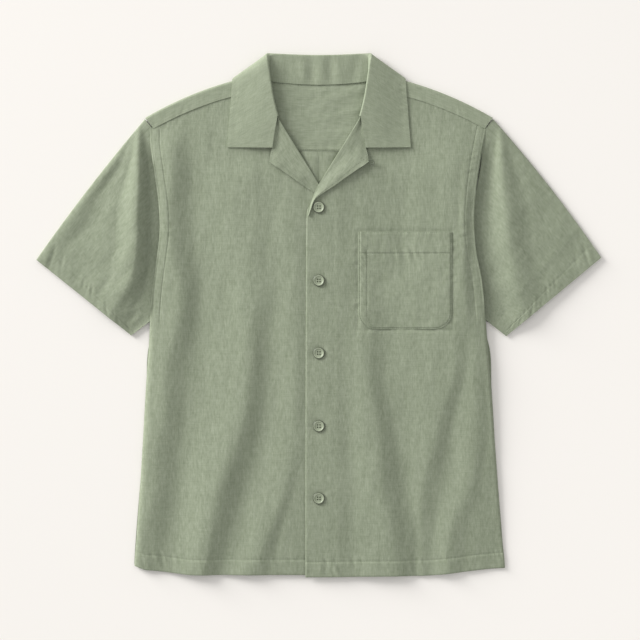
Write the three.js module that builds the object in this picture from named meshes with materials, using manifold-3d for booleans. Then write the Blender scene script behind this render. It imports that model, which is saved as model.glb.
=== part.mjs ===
// A short-sleeved camp shirt, buttoned and laid flat on its back, with the collar towards +Y and the front up.
// Millimetres, +Z up. The origin is under the middle of the shirt, on the surface that it lies on.
// The wearer's left is +X, and the left front laps over the right one.
import * as THREE from "three";
import Module from "manifold-3d";

// Cloth and layers
const CLOTH = 1.0;
const COLLAR_CLOTH = 1.2;
const LAYER_GAP = 0.3;
const SEAM_GAP = 0.5;

// Lengths of the body, from the middle of the shirt
const HEM_MIDDLE_Y = -366;
const HEM_CORNER_Y = -352;
const HEM_BOW = 6;
const RIGHT_HEM_RISE = 3;
const BACK_HEM_RISE = 4;
const YOKE_SEAM_Y = 230.3;

// Shoulder fold, where the yoke wraps to the front
const NECK_SIDE = { x: 93, y: 334 };
const SHOULDER_DROP = 0.19;
const SHOULDER_CURVE = 0.0013;
const YOKE_FRONT_DEPTH = 21;
const SHOULDER_HEIGHT = 5.4;
const BACK_NECK_Y = 324;
const BACK_NECK_RISE = 9;

// Front opening
const PLACKET_HALF = 17;
const PLACKET_FLAT = 24;
const FRONT_NECK_Y = 312.5;
const SHOULDER_TIP = { x: 234, y: 262 };

// Heights of the outer face of the fronts over the surface
const FRONT_BASE = 3.7;
const FRONT_UPPER = 5.2;
const OVER_PLEAT = 4.95;
const OVERLAP_STEP = 1.45;
const LAPEL_STEP = 2.2;
const SIDE_EDGE_HEIGHT = 1.95;
const ARMHOLE_EDGE_HEIGHT = 3.75;
const SIDE_ROLL = 9;

// Collar fall under the yoke
const COLLAR_LIFT = 2.0;
const COLLAR_BACK_Y = 306;
const COLLAR_SIDE_X = 122;

// Centre back box pleat
const PLEAT_HALF = 19;
const PLEAT_SLIT = 1.4;
const PLEAT_RAMP = 12;

// Pocket on the left front
const POCKET = { left: 55.5, right: 185.5, top: 117, bottom: -19, corner: 23 };

// Buttons down the centre front
const BUTTON_RADIUS = 7.6;
const BUTTON_THICK = 2.4;
const BUTTON_RIM = 1.5;
const BUTTON_DISH = 0.6;
const BUTTON_HOLE = 0.85;
const BUTTON_HOLE_OUT = 1.55;
const BUTTON_TOP_Y = 151.5;
const BUTTON_PITCH = 101.7;
const BUTTON_COUNT = 5;

// Side of the body from the shoulder to the hem: the half width that shows, and the sleeve seam hidden under it.
const SIDE = [
  { y: 276, body: 244, seam: 243.5 },
  { y: 262, body: 234, seam: 233.5 },
  { y: 212, body: 228.5, seam: 227 },
  { y: 165, body: 221.5, seam: 219 },
  { y: 122, body: 219, seam: 215.5 },
  { y: 80, body: 223, seam: 216 },
  { y: 40, body: 230.5, seam: 217 },
  { y: 6, body: 233.8, seam: 218.4 },
  { y: -35, body: 236.5, seam: 236.5 },
  { y: -105, body: 242, seam: 242 },
  { y: -200, body: 248, seam: 248 },
  { y: -330, body: 258, seam: 258 },
  { y: -366, body: 260, seam: 260 },
];

// Inner edge of a front, from the neck down the lapel fold to the front edge.
const FRONT_EDGE = [
  { y: 334, x: 92.2 },
  { y: 312.5, x: 88.5 },
  { y: 296.5, x: 77.5 },
  { y: 281, x: 66.5 },
  { y: 273, x: 61 },
  { y: 228.6, x: 32.3 },
  { y: 181.6, x: 4.6 },
  { y: 164, x: -3.2 },
  { y: 152, x: -8.6 },
  { y: 148, x: -15.2 },
  { y: 131, x: -PLACKET_HALF },
  { y: -372, x: -PLACKET_HALF },
];

// Soft ridges of the fronts, each through three points from its head to its foot, with its height and its
// half width towards -X and towards +X.
const FOLDS = [
  { x0: -206, y0: 238, x1: -203, y1: 110, x2: -202, y2: -25, height: 2.4, left: 15, right: 17 },
  { x0: -199, y0: 30, x1: -214, y1: -110, x2: -236, y2: -400, height: 3.4, left: 13, right: 15 },
  { x0: -118, y0: 215, x1: -106, y1: 90, x2: -99, y2: -40, height: 1.8, left: 24, right: 18 },
  { x0: -98, y0: 20, x1: -119, y1: -160, x2: -178, y2: -410, height: 4.2, left: 18, right: 15 },
  { x0: -34, y0: -225, x1: -70, y1: -290, x2: -128, y2: -410, height: 3.0, left: 14, right: 12 },
  { x0: 56, y0: -5, x1: 74, y1: -160, x2: 118, y2: -410, height: 3.4, left: 19, right: 12 },
  { x0: 186, y0: -5, x1: 157, y1: -130, x2: 128, y2: -330, height: 2.9, left: 15, right: 13 },
  { x0: 210, y0: -120, x1: 186, y1: -250, x2: 160, y2: -410, height: 2.9, left: 14, right: 13 },
  { x0: 220, y0: 90, x1: 228, y1: -120, x2: 246, y2: -400, height: 1.8, left: 18, right: 14 },
  { x0: 186, y0: 245, x1: 199, y1: 120, x2: 203, y2: 10, height: 2.4, left: 20, right: 14 },
];

// Soft ridges of the sleeves: place across the sleeve at its head and at its hem (0 at the top fold, 1 underarm),
// height and half width in millimetres.
const SLEEVE_FOLDS = {
  left: [
    { head: 0.62, hem: 0.75, height: 3.2, width: 42 },
    { head: 0.3, hem: 0.2, height: 1.2, width: 22 },
  ],
  right: [
    { head: 0.12, hem: 0.1, height: 1.2, width: 16 },
    { head: 0.52, hem: 0.6, height: 3.0, width: 30 },
  ],
};

// Sleeve outline
const SLEEVE_HEM_TOP = { x: 395, y: 79 };
const SLEEVE_HEM_UNDER = { x: 263, y: -28 };
const UNDERARM = { x: 218.4, y: 6 };
const SLEEVE_BOW = 4.5;
const SLEEVE_FLAT = 2.3;
const SLEEVE_BASE = 4.4;
const SLEEVE_FOLD_HEIGHT = 4.8;
const SLEEVE_OPENING = 28;
const SLEEVE_ROLL = 7;
const SLEEVE_ROLL_UNDER = 2.4;

// Collar, from the centre back to the front end of one half. turn is how far the fold has come round from lying
// behind the neck (0) to lying on the front (180). c is the middle of the rolled fold, r its radius, e a point of
// the outer edge and s one of the neck seam, all on the outer face.
const COLLAR = [
  { turn: 0, r: 2.6, cx: 0, cy: 360.9, cz: 2.6, ex: 0, ey: 306, ez: 0, sx: 0, sy: 324.6, sz: 2.9 },
  { turn: 0, r: 2.6, cx: 22, cy: 361.3, cz: 2.6, ex: 26, ey: 306.3, ez: 0, sx: 24, sy: 325.2, sz: 2.9 },
  { turn: 0, r: 2.6, cx: 43, cy: 362.1, cz: 2.6, ex: 52, ey: 307.4, ez: 0, sx: 47, sy: 327, sz: 2.9 },
  { turn: 0, r: 2.6, cx: 58, cy: 362.8, cz: 2.6, ex: 76, ey: 309.6, ez: 0, sx: 64, sy: 329, sz: 2.9 },
  { turn: 25, r: 2.6, cx: 65.5, cy: 363.1, cz: 2.7, ex: 94, ey: 314, ez: 0, sx: 76, sy: 330.9, sz: 2.9 },
  { turn: 60, r: 2.7, cx: 70.2, cy: 362.9, cz: 3.8, ex: 108, ey: 322.4, ez: 0, sx: 85, sy: 332.5, sz: 2.9 },
  { turn: 75, r: 2.8, cx: 71.8, cy: 362.3, cz: 4.7, ex: 115.5, ey: 329.4, ez: 0.4, sx: 89, sy: 334.2, sz: 3.1 },
  { turn: 90, r: 2.9, cx: 72.6, cy: 361.2, cz: 5.7, ex: 119.3, ey: 332, ez: 3.2, sx: 91, sy: 335.4, sz: 3.5 },
  { turn: 110, r: 2.9, cx: 73.1, cy: 359, cz: 7.0, ex: 121.2, ey: 329.2, ez: 5.7, sx: 91, sy: 333.4, sz: 4.2 },
  { turn: 135, r: 2.9, cx: 73.1, cy: 354.8, cz: 8.2, ex: 121.9, ey: 323, ez: 7.1, sx: 90.6, sy: 328.5, sz: 4.6 },
  { turn: 160, r: 2.9, cx: 72.8, cy: 349, cz: 8.7, ex: 122.4, ey: 315, ez: 7.8, sx: 89.6, sy: 322.5, sz: 4.8 },
  { turn: 180, r: 2.9, cx: 72.2, cy: 341, cz: 8.6, ex: 122.9, ey: 306, ez: 8.2, sx: 88.2, sy: 315.5, sz: 4.8 },
  { turn: 180, r: 2.9, cx: 69.8, cy: 324, cz: 8.3, ex: 124.3, ey: 290, ez: 8.5, sx: 84, sy: 307.2, sz: 4.7 },
  { turn: 180, r: 2.8, cx: 66.4, cy: 304, cz: 8.0, ex: 125.7, ey: 272, ez: 8.8, sx: 77, sy: 297, sz: 4.7 },
  { turn: 180, r: 2.7, cx: 62.3, cy: 287, cz: 7.7, ex: 126.9, ey: 256, ez: 9.0, sx: 68.6, sy: 285.4, sz: 4.7 },
  { turn: 180, r: 2.6, cx: 60.0, cy: 278.2, cz: 7.5, ex: 127.4, ey: 248, ez: 9.1, sx: 64.6, sy: 280.3, sz: 4.7 },
  { turn: 180, r: 0.6, cx: 60.7, cy: 267, cz: 9.2, ex: 127.7, ey: 243.5, ez: 9.1, sx: 62.2, sy: 267, sz: 8.6 },
  { turn: 180, r: 0.6, cx: 62.9, cy: 252, cz: 8.9, ex: 127.9, ey: 239.5, ez: 9.1, sx: 64.4, sy: 252, sz: 8.3 },
  { turn: 180, r: 0.6, cx: 65.3, cy: 234.6, cz: 8.6, ex: 128.1, ey: 235.2, ez: 9.1, sx: 67, sy: 234.6, sz: 8.0 },
];
const GORGE_ROW = 15;
const STAND_STEPS = [1, 0.66, 0.33];
const ROLL_ANGLES = [-90, -54, -18, 18, 54, 90];
const LEAF_STEPS = [0.12, 0.35, 0.6, 0.82, 1];

// Lapels, from the collar down: a point of the fold line, the point of the outer edge across from it, and the
// radius of the fold. Written for +X and mirrored.
const LAPEL = [
  { rx: 57, ry: 276.5, ex: 59.8, ey: 269.5, r: 2.2 },
  { rx: 50.3, ry: 265.5, ex: 62.2, ey: 252, r: 2.2 },
  { rx: 43.5, ry: 254.5, ex: 64.4, ey: 237, r: 2.2 },
  { rx: 36.3, ry: 242.8, ex: 70.5, ey: 214.8, r: 2.1 },
  { rx: 26, ry: 226.2, ex: 54.5, ey: 204.6, r: 2.0 },
  { rx: 15, ry: 208.3, ex: 38.5, ey: 193.8, r: 1.8 },
  { rx: 5, ry: 192, ex: 22, ey: 182.4, r: 1.6 },
  { rx: -3.4, ry: 177.5, ex: 8.6, ey: 172.8, r: 1.5 },
  { rx: -9.2, ry: 163.5, ex: -5, ey: 161.9, r: 1.5 },
  { rx: -13.8, ry: 150.6, ex: -10, ey: 149.7, r: 1.5 },
];
const LAPEL_TUCK = 2;
const LAPEL_EDGE_LIFT = 2.4;
const LAPEL_STEPS = [0.2, 0.6, 1];

// Materials
const shirting = new THREE.MeshStandardMaterial({ color: 0x8d9a7c, roughness: 0.9, metalness: 0 });
const buttonStock = new THREE.MeshStandardMaterial({ color: 0x8f9a80, roughness: 0.45, metalness: 0 });
const thread = new THREE.MeshStandardMaterial({ color: 0x98a588, roughness: 0.8, metalness: 0 });

// 0 before a, 1 after b, smooth between
function smooth(a, b, value) {
  const t = THREE.MathUtils.clamp((value - a) / (b - a), 0, 1);
  return t * t * (3 - 2 * t);
}

// Height of a quarter round at a distance from its edge, as a share of the whole
function quarterRound(distance, radius) {
  const t = 1 - THREE.MathUtils.clamp(distance / radius, 0, 1);
  return Math.sqrt(1 - t * t);
}

// A column of a table whose y falls row by row, read at y along a smooth curve through the rows
function read(table, column, y) {
  const last = table.length - 1;
  if (y >= table[0].y) return table[0][column];
  if (y <= table[last].y) return table[last][column];
  const i = table.findIndex((row) => row.y < y) - 1;
  const slope = (k) => {
    const a = table[Math.max(k - 1, 0)];
    const b = table[Math.min(k + 1, last)];
    return (b[column] - a[column]) / (b.y - a.y);
  };
  const { y: ya, [column]: va } = table[i];
  const { y: yb, [column]: vb } = table[i + 1];
  const step = yb - ya;
  const t = (y - ya) / step;
  const h = t * t * (3 - 2 * t);
  return va + (vb - va) * h + step * (slope(i) * t * (1 - t) ** 2 - slope(i + 1) * t * t * (1 - t));
}

function evenSteps(from, to, count) {
  return Array.from({ length: count + 1 }, (_, i) => from + ((to - from) * i) / count);
}

// The shoulder fold, seen from above
function shoulderY(x) {
  const out = Math.abs(x) - NECK_SIDE.x;
  return NECK_SIDE.y - SHOULDER_DROP * out - SHOULDER_CURVE * out * out;
}

// Height of one soft ridge at a point of the fronts
function foldHeight(fold, x, y) {
  const { x0, y0, x1, y1, x2, y2 } = fold;
  const crest =
    (x0 * (y - y1) * (y - y2)) / ((y0 - y1) * (y0 - y2)) +
    (x1 * (y - y0) * (y - y2)) / ((y1 - y0) * (y1 - y2)) +
    (x2 * (y - y0) * (y - y1)) / ((y2 - y0) * (y2 - y1));
  const across = (x - crest) / (x < crest ? fold.left : fold.right);
  const ends = smooth(y0, y0 - 60, y) * (1 - smooth(y2 + 60, y2, y));
  return fold.height * Math.exp(-across * across) * ends;
}

// Outer face of the fronts without the roll at the sides. The left front lies higher where it laps over.
function frontHeight(x, y, isLeft) {
  const middle = 1 - smooth(PLACKET_FLAT, PLACKET_FLAT + 36, Math.abs(x));
  const base = FRONT_BASE + (FRONT_UPPER - FRONT_BASE) * smooth(140, 235, y);
  const folds = FOLDS.reduce((sum, fold) => sum + foldHeight(fold, x, y), 0);
  let height = base + folds * (1 - middle);
  height += Math.max(0, OVER_PLEAT - base) * middle;
  if (isLeft) {
    const notch = smooth(100, 142, y) * (1 - smooth(192, 240, y)) * (1 - smooth(20, 60, Math.abs(x)));
    height += OVERLAP_STEP * middle * (1 - smooth(200, 240, y)) + LAPEL_STEP * notch;
  }
  return height;
}

// Outer face of the fronts, rolled down at the side seam and at the armhole
function frontSurface(x, y, isLeft) {
  const inside = read(SIDE, "body", y) - Math.abs(x);
  const shoulder = smooth(SHOULDER_TIP.y - 40, SHOULDER_TIP.y, y);
  const armhole = ARMHOLE_EDGE_HEIGHT + (FRONT_UPPER - ARMHOLE_EDGE_HEIGHT) * shoulder;
  const edge = SIDE_EDGE_HEIGHT + (armhole - SIDE_EDGE_HEIGHT) * smooth(-45, -10, y);
  return edge + (frontHeight(x, y, isLeft) - edge) * quarterRound(inside, SIDE_ROLL);
}

// A closed wall from a grid of points on its outer face. cloth is its thickness, inward is 1 or -1 for the side that
// the thickness goes to, and isCloth says which cells of the grid are there.
function wall(grid, cloth, inward, isCloth = () => true) {
  const rows = grid.length;
  const columns = grid[0].length;
  const at = (i, j) => i * columns + j;
  const normals = grid.map((row) => row.map(() => new THREE.Vector3()));
  const cells = [];
  for (let i = 0; i < rows - 1; i++)
    for (let j = 0; j < columns - 1; j++) {
      if (!isCloth(i, j)) continue;
      cells.push([i, j]);
      const along = grid[i + 1][j + 1].clone().sub(grid[i][j]);
      const across = grid[i][j + 1].clone().sub(grid[i + 1][j]);
      const normal = along.cross(across);
      for (const [a, b] of [[i, j], [i + 1, j], [i, j + 1], [i + 1, j + 1]]) normals[a][b].add(normal);
    }
  const isThere = (i, j) => i >= 0 && j >= 0 && i < rows - 1 && j < columns - 1 && isCloth(i, j);
  const inner = grid.map((row, i) =>
    row.map((point, j) => {
      const thickness = typeof cloth === "function" ? cloth(i, j) : cloth;
      return point.clone().addScaledVector(normals[i][j].normalize(), thickness * inward);
    }),
  );
  const positions = [...grid.flat(), ...inner.flat()].flatMap((point) => point.toArray());
  const under = rows * columns;
  const faces = [];
  const rim = (a, b) => faces.push([a, b, b + under], [a, b + under, a + under]);
  for (const [i, j] of cells) {
    const [a, b, c, d] = [at(i, j), at(i + 1, j), at(i + 1, j + 1), at(i, j + 1)];
    faces.push([a, c, b], [a, d, c]);
    faces.push([a + under, b + under, c + under], [a + under, c + under, d + under]);
    if (!isThere(i, j - 1)) rim(a, b);
    if (!isThere(i + 1, j)) rim(b, c);
    if (!isThere(i, j + 1)) rim(c, d);
    if (!isThere(i - 1, j)) rim(d, a);
  }
  return closedGeometry(positions, faces);
}

// A geometry from points and triangles, without unused points and turned so that its faces point out
function closedGeometry(positions, faces) {
  const point = (k) => new THREE.Vector3(...positions.slice(k * 3, k * 3 + 3));
  const volume = faces.reduce((sum, [a, b, c]) => sum + point(a).dot(point(b).cross(point(c))), 0);
  const turned = volume < 0 ? faces.map(([a, b, c]) => [a, c, b]) : faces;
  const geometry = new THREE.BufferGeometry();
  geometry.setAttribute("position", new THREE.Float32BufferAttribute(positions, 3));
  geometry.setIndex(turned.flat());
  geometry.computeVertexNormals();
  return geometry;
}

const shirt = new THREE.Group();

function addPiece(name, geometry, material) {
  const mesh = new THREE.Mesh(geometry, material);
  mesh.name = name;
  shirt.add(mesh);
}

// Front panels. Rows run from the shoulder seam to the hem, columns from the side to the inner edge.
const FRONT_ROWS = [0, 0.02, 0.06, 0.11, 0.16, 0.21, 0.26, 0.31, 0.37, 0.43, 0.5, 0.57, 0.64, 0.71, 0.78, 0.85, 0.92, 0.965, 1];
const SIDE_COLUMNS = [0, 1.6, 4.5, 9];
const INNER_COLUMNS = 18;

function frontPoint(row, column, isLeft) {
  const side = isLeft ? 1 : -1;
  const hemY = isLeft ? HEM_MIDDLE_Y : HEM_MIDDLE_Y + RIGHT_HEM_RISE;
  const sideY = SHOULDER_TIP.y + (HEM_CORNER_Y - SHOULDER_TIP.y) * row;
  const slant = 1 - smooth(0, 0.36, row);
  const innerY = sideY + (FRONT_NECK_Y - SHOULDER_TIP.y) * slant + (hemY - HEM_CORNER_Y) * smooth(0.7, 1, row);
  const sideX = read(SIDE, "body", sideY);
  const innerX = read(FRONT_EDGE, "x", innerY);
  const far = SIDE_COLUMNS.length - 1;
  const width = sideX - innerX;
  const inner = Math.max(0, column - far) / INNER_COLUMNS;
  const share = column <= far ? SIDE_COLUMNS[column] / width : (SIDE_COLUMNS[far] * (1 - inner)) / width + inner;
  const x = sideX - share * width;
  const bow = HEM_BOW * Math.sin(Math.PI * share) * smooth(0.8, 1, row);
  let y = sideY + (innerY - sideY) * share - bow;
  if (row === 0) y = shoulderY(x) - YOKE_FRONT_DEPTH - SEAM_GAP;
  return new THREE.Vector3(side * x, y, frontSurface(side * x, y, isLeft));
}

function frontPanel(isLeft) {
  const columns = evenSteps(0, SIDE_COLUMNS.length - 1 + INNER_COLUMNS, SIDE_COLUMNS.length - 1 + INNER_COLUMNS);
  const grid = FRONT_ROWS.map((row) => columns.map((column) => frontPoint(row, column, isLeft)));
  return wall(grid, CLOTH, isLeft ? 1 : -1);
}
addPiece("front_left", frontPanel(true), shirting);
addPiece("front_right", frontPanel(false), shirting);

// Back panel with the box pleat: one section across, folded at the pleat, carried from the yoke seam to the hem.
function pleatSection() {
  const half = CLOTH / 2;
  const level = CLOTH + LAYER_GAP;
  const bend = level / 2;
  const top = half + 2 * level;
  const points = [
    { x: PLEAT_HALF + PLEAT_RAMP, z: half },
    { x: PLEAT_HALF + PLEAT_RAMP / 2, z: (top + half) / 2 },
    { x: PLEAT_HALF + 1.6, z: top },
    { x: PLEAT_SLIT, z: top },
  ];
  for (const angle of [45, 90, 135]) points.push(bendPoint(PLEAT_SLIT, half + level + bend, bend, angle, -1));
  points.push({ x: PLEAT_SLIT, z: half + level }, { x: PLEAT_HALF, z: half + level });
  for (const angle of [45, 90, 135]) points.push(bendPoint(PLEAT_HALF, half + bend, bend, angle, 1));
  points.push({ x: PLEAT_HALF, z: half });
  return points;
}

// A point of a fold that turns down from the layer above, out to one side
function bendPoint(x, z, radius, angle, side) {
  const a = THREE.MathUtils.degToRad(angle);
  return { x: x + side * radius * Math.sin(a), z: z + radius * Math.cos(a) };
}

function backPanel() {
  const half = pleatSection();
  const mirrored = half.slice().reverse().map(({ x, z }) => ({ x: -x, z }));
  const middle = [...half, ...mirrored];
  const seamY = YOKE_SEAM_Y - SEAM_GAP;
  const stations = [seamY, 190, 150, 105, 60, 22, UNDERARM.y - 2, -8.5, -60, -120, -200, -280, HEM_CORNER_Y + BACK_HEM_RISE];
  const outer = [];
  const inner = [];
  for (const y of stations) {
    const edge = backEdge(y);
    const section = [{ x: edge, z: CLOTH / 2 }, ...middle, { x: -edge, z: CLOTH / 2 }];
    const isHem = y === stations[stations.length - 1];
    const dip = (x) => (isHem ? (HEM_MIDDLE_Y - HEM_CORNER_Y) * (1 - (x / edge) ** 2) : 0);
    outer.push(section.map((p, i) => offsetPoint(section, i, CLOTH / 2, y + dip(p.x))));
    inner.push(section.map((p, i) => offsetPoint(section, i, -CLOTH / 2, y + dip(p.x))));
  }
  return wallBetween(outer, inner);
}

// Half width of the back panel, which passes the sleeve's underarm fold
function backEdge(y) {
  if (y > UNDERARM.y) return read(SIDE, "seam", y) - SEAM_GAP;
  const foldY = UNDERARM.y + ((SLEEVE_HEM_UNDER.y - UNDERARM.y) * 15) / (SLEEVE_HEM_UNDER.x - UNDERARM.x);
  if (y > foldY - 2) return UNDERARM.x - SEAM_GAP + ((UNDERARM.y - 2 - y) * 14) / (UNDERARM.y - foldY);
  return read(SIDE, "body", y);
}

// A point of a section in the x, z plane, moved off along the section's own normal
function offsetPoint(section, i, distance, y) {
  const before = section[Math.max(i - 1, 0)];
  const after = section[Math.min(i + 1, section.length - 1)];
  const length = Math.hypot(after.x - before.x, after.z - before.z);
  const nx = (after.z - before.z) / length;
  const nz = -(after.x - before.x) / length;
  return new THREE.Vector3(section[i].x + nx * distance, y, section[i].z + nz * distance);
}

// A closed wall between two grids of the same size. closed joins the last column to the first.
function wallBetween(outer, inner, closed = false) {
  const rows = outer.length;
  const columns = outer[0].length;
  const positions = [...outer.flat(), ...inner.flat()].flatMap((point) => point.toArray());
  const under = rows * columns;
  const at = (i, j) => i * columns + (j % columns);
  const faces = [];
  const last = closed ? columns : columns - 1;
  for (let i = 0; i < rows - 1; i++)
    for (let j = 0; j < last; j++) {
      const [a, b, c, d] = [at(i, j), at(i + 1, j), at(i + 1, j + 1), at(i, j + 1)];
      faces.push([a, c, b], [a, d, c]);
      faces.push([a + under, b + under, c + under], [a + under, c + under, d + under]);
    }
  const rim = (a, b) => faces.push([a, b, b + under], [a, b + under, a + under]);
  for (let j = 0; j < last; j++) {
    rim(at(0, j + 1), at(0, j));
    rim(at(rows - 1, j), at(rows - 1, j + 1));
  }
  if (!closed)
    for (let i = 0; i < rows - 1; i++) {
      rim(at(i, 0), at(i + 1, 0));
      rim(at(i + 1, columns - 1), at(i, columns - 1));
    }
  return closedGeometry(positions, faces);
}
addPiece("back", backPanel(), shirting);

// Yoke: flat behind the shoulders, then over the shoulder fold to the seam on the front. It has no cloth in the neck.
const YOKE_PLACES = [1, 0.94, 0.8, 0.62, 0.44, 0.26, 0.13, 0, -0.2, -0.45, -0.7, -0.9, -1];
const YOKE_BACK = [0, 0.35, 0.62, 0.85, 1];
const YOKE_BEND = [-60, -20, 20, 60, 90];
const YOKE_FRONT = [0.5, 1];

function yokeLift(x, y) {
  return COLLAR_LIFT * smooth(288, 302, y) * (1 - smooth(COLLAR_SIDE_X + 1, COLLAR_SIDE_X + 15, Math.abs(x)));
}

// A point of the yoke's outer face, as y and z at a distance from the middle
function yokeSection(out, column) {
  const crest = shoulderY(Math.max(out, NECK_SIDE.x));
  const low = yokeLift(out, crest - 3);
  const radius = (SHOULDER_HEIGHT - low) / 2;
  const neckY = BACK_NECK_Y + BACK_NECK_RISE * (out / NECK_SIDE.x) ** 2 - ((radius - 1) * out) / NECK_SIDE.x;
  const topY = out < NECK_SIDE.x ? neckY : crest - radius;
  if (column < YOKE_BACK.length) {
    const y = THREE.MathUtils.lerp(YOKE_SEAM_Y, topY, YOKE_BACK[column]);
    return { y, z: yokeLift(out, y) };
  }
  const bend = column - YOKE_BACK.length;
  if (bend < YOKE_BEND.length) {
    const a = THREE.MathUtils.degToRad(YOKE_BEND[bend]);
    return { y: topY + radius * Math.cos(a), z: low + radius + radius * Math.sin(a) };
  }
  const share = YOKE_FRONT[bend - YOKE_BEND.length];
  return { y: topY - (YOKE_FRONT_DEPTH - radius) * share, z: SHOULDER_HEIGHT };
}

// A point of the yoke. place is 1 at the armhole, 0 at the side of the neck and -1 at the middle.
function yokePoint(place, column, side) {
  let out = Math.max(NECK_SIDE.x * (1 + Math.min(place, 0)), 1e-6);
  for (let pass = 0; pass < 4 && place > 0; pass++) {
    const end = read(SIDE, "seam", yokeSection(out, column).y) - SEAM_GAP;
    out = NECK_SIDE.x + (end - NECK_SIDE.x) * place;
  }
  const { y, z } = yokeSection(out, column);
  return new THREE.Vector3(side * out, y, z);
}

function yoke() {
  const columns = YOKE_BACK.length + YOKE_BEND.length + YOKE_FRONT.length;
  const row = (place, side) => Array.from({ length: columns }, (_, column) => yokePoint(place, column, side));
  const left = YOKE_PLACES.map((place) => row(place, 1));
  const right = YOKE_PLACES.slice(0, -1).reverse().map((place) => row(place, -1));
  const grid = [...left, ...right];
  const shoulders = YOKE_PLACES.indexOf(0);
  const isShoulder = (i) => i < shoulders || i >= grid.length - 1 - shoulders;
  return wall(grid, CLOTH, -1, (i, j) => isShoulder(i) || j < YOKE_BACK.length - 1);
}
addPiece("yoke", yoke(), shirting);

// Sleeves: a flattened tube from the armhole to the hem, closed at the top fold and at the underarm.
const SLEEVE_ROWS = [0, 0.05, 0.12, 0.22, 0.34, 0.48, 0.62, 0.76, 0.88, 1];
const SLEEVE_OVER = [0, 0.006, 0.018, 0.04, 0.09, 0.17, 0.26, 0.35, 0.44, 0.53, 0.62, 0.71, 0.8, 0.88, 0.94, 0.975, 0.993, 1];
const SLEEVE_UNDER = [0.994, 0.98, 0.78, 0.5, 0.22, 0.02, 0.006];

function armholePoint(share) {
  const corner = 0.06;
  if (share < corner) {
    const t = share / corner;
    return { x: 243.5 - 10 * t, y: 274.5 - 12.5 * t };
  }
  const y = 262 + ((UNDERARM.y - 262) * (share - corner)) / (1 - corner);
  return { x: read(SIDE, "seam", y), y };
}

function sleevePlan(along, across) {
  const mix = (a, b, t) => ({ x: a.x + (b.x - a.x) * t, y: a.y + (b.y - a.y) * t });
  const head = armholePoint(across);
  const hem = mix(SLEEVE_HEM_TOP, SLEEVE_HEM_UNDER, across);
  const top = armholePoint(0);
  const fold = mix(top, SLEEVE_HEM_TOP, along);
  const bow = SLEEVE_BOW * 4 * along * (1 - along);
  const under = mix(armholePoint(1), SLEEVE_HEM_UNDER, along);
  const corners = mix(mix(top, SLEEVE_HEM_TOP, along), mix(armholePoint(1), SLEEVE_HEM_UNDER, along), across);
  const ruled = mix(head, hem, along);
  const sides = mix({ x: fold.x + 0.79 * bow, y: fold.y + 0.61 * bow }, under, across);
  return { x: ruled.x + sides.x - corners.x, y: ruled.y + sides.y - corners.y };
}

function sleeveLoop(along, isLeft, inset) {
  const start = sleevePlan(along, 0);
  const end = sleevePlan(along, 1);
  const length = Math.hypot(start.x - end.x, start.y - end.y);
  const loop = [];
  const point = (across, isOver) => {
    const place = (inset + across * (length - 2 * inset)) / length;
    const { x, y } = sleevePlan(along, place);
    const near = Math.min(across, 1 - across) * length;
    const open = smooth(0, SLEEVE_OPENING, x - read(SIDE, "body", y));
    const middle = THREE.MathUtils.lerp(SLEEVE_FLAT, SLEEVE_FOLD_HEIGHT, open) / 2;
    const head = 1 - smooth(0.02, 0.1, across);
    const level = THREE.MathUtils.lerp(middle, SLEEVE_FOLD_HEIGHT / 2, head);
    const folds = SLEEVE_FOLDS[isLeft ? "left" : "right"].reduce((sum, fold) => {
      const off = ((across - THREE.MathUtils.lerp(fold.head, fold.hem, along)) * length) / fold.width;
      return sum + fold.height * Math.exp(-off * off);
    }, 0);
    const flat = THREE.MathUtils.lerp(SLEEVE_FLAT, SLEEVE_FOLD_HEIGHT, head);
    const height = THREE.MathUtils.lerp(flat, SLEEVE_BASE + folds, open);
    const z = isOver
      ? level + (height - inset - level) * quarterRound(near, SLEEVE_ROLL)
      : level - (level - inset) * quarterRound(near, SLEEVE_ROLL_UNDER);
    loop.push(new THREE.Vector3(isLeft ? x : -x, y, z));
  };
  for (const across of SLEEVE_OVER) point(across, true);
  for (const across of SLEEVE_UNDER) point(across, false);
  return loop;
}

function sleeve(isLeft) {
  const outer = SLEEVE_ROWS.map((along) => sleeveLoop(along, isLeft, 0));
  const inner = SLEEVE_ROWS.map((along) => sleeveLoop(along, isLeft, CLOTH));
  return wallBetween(outer, inner, true);
}
addPiece("sleeve_left", sleeve(true), shirting);
addPiece("sleeve_right", sleeve(false), shirting);

// Collar: the stand up from the neck seam, the rolled fold, and the leaf that falls outside.
function collarFrame(turn) {
  const a = THREE.MathUtils.degToRad(turn);
  const out = new THREE.Vector3(-0.5 + 0.5 * Math.cos(a), 0.5 + 0.5 * Math.cos(a), Math.SQRT1_2 * Math.sin(a));
  const fall = new THREE.Vector3(Math.SQRT1_2 * Math.sin(a), Math.SQRT1_2 * Math.sin(a), -Math.cos(a));
  return { out, fall };
}

function limb(from, out, to, share) {
  const handle = from.clone().sub(new THREE.Vector3(out.x, out.y, 0).multiplyScalar(4));
  const curve = new THREE.CubicBezierCurve3(from, handle, from.clone().lerp(to, 0.5), to);
  return curve.getPoint(share);
}

function collarRow(row) {
  const { out, fall } = collarFrame(row.turn);
  const centre = new THREE.Vector3(row.cx, row.cy, row.cz);
  const seam = new THREE.Vector3(row.sx, row.sy, row.sz);
  const edge = new THREE.Vector3(row.ex, row.ey, row.ez);
  const low = centre.clone().addScaledVector(fall, -row.r);
  const high = centre.clone().addScaledVector(fall, row.r);
  const stand = STAND_STEPS.map((share) => limb(low, out, seam, share));
  const roll = ROLL_ANGLES.map((angle) => {
    const a = THREE.MathUtils.degToRad(angle);
    return centre.clone().addScaledVector(out, row.r * Math.cos(a)).addScaledVector(fall, row.r * Math.sin(a));
  });
  const leaf = LEAF_STEPS.map((share) => limb(high, out, edge, share));
  return [...stand, ...roll, ...leaf];
}

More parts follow.
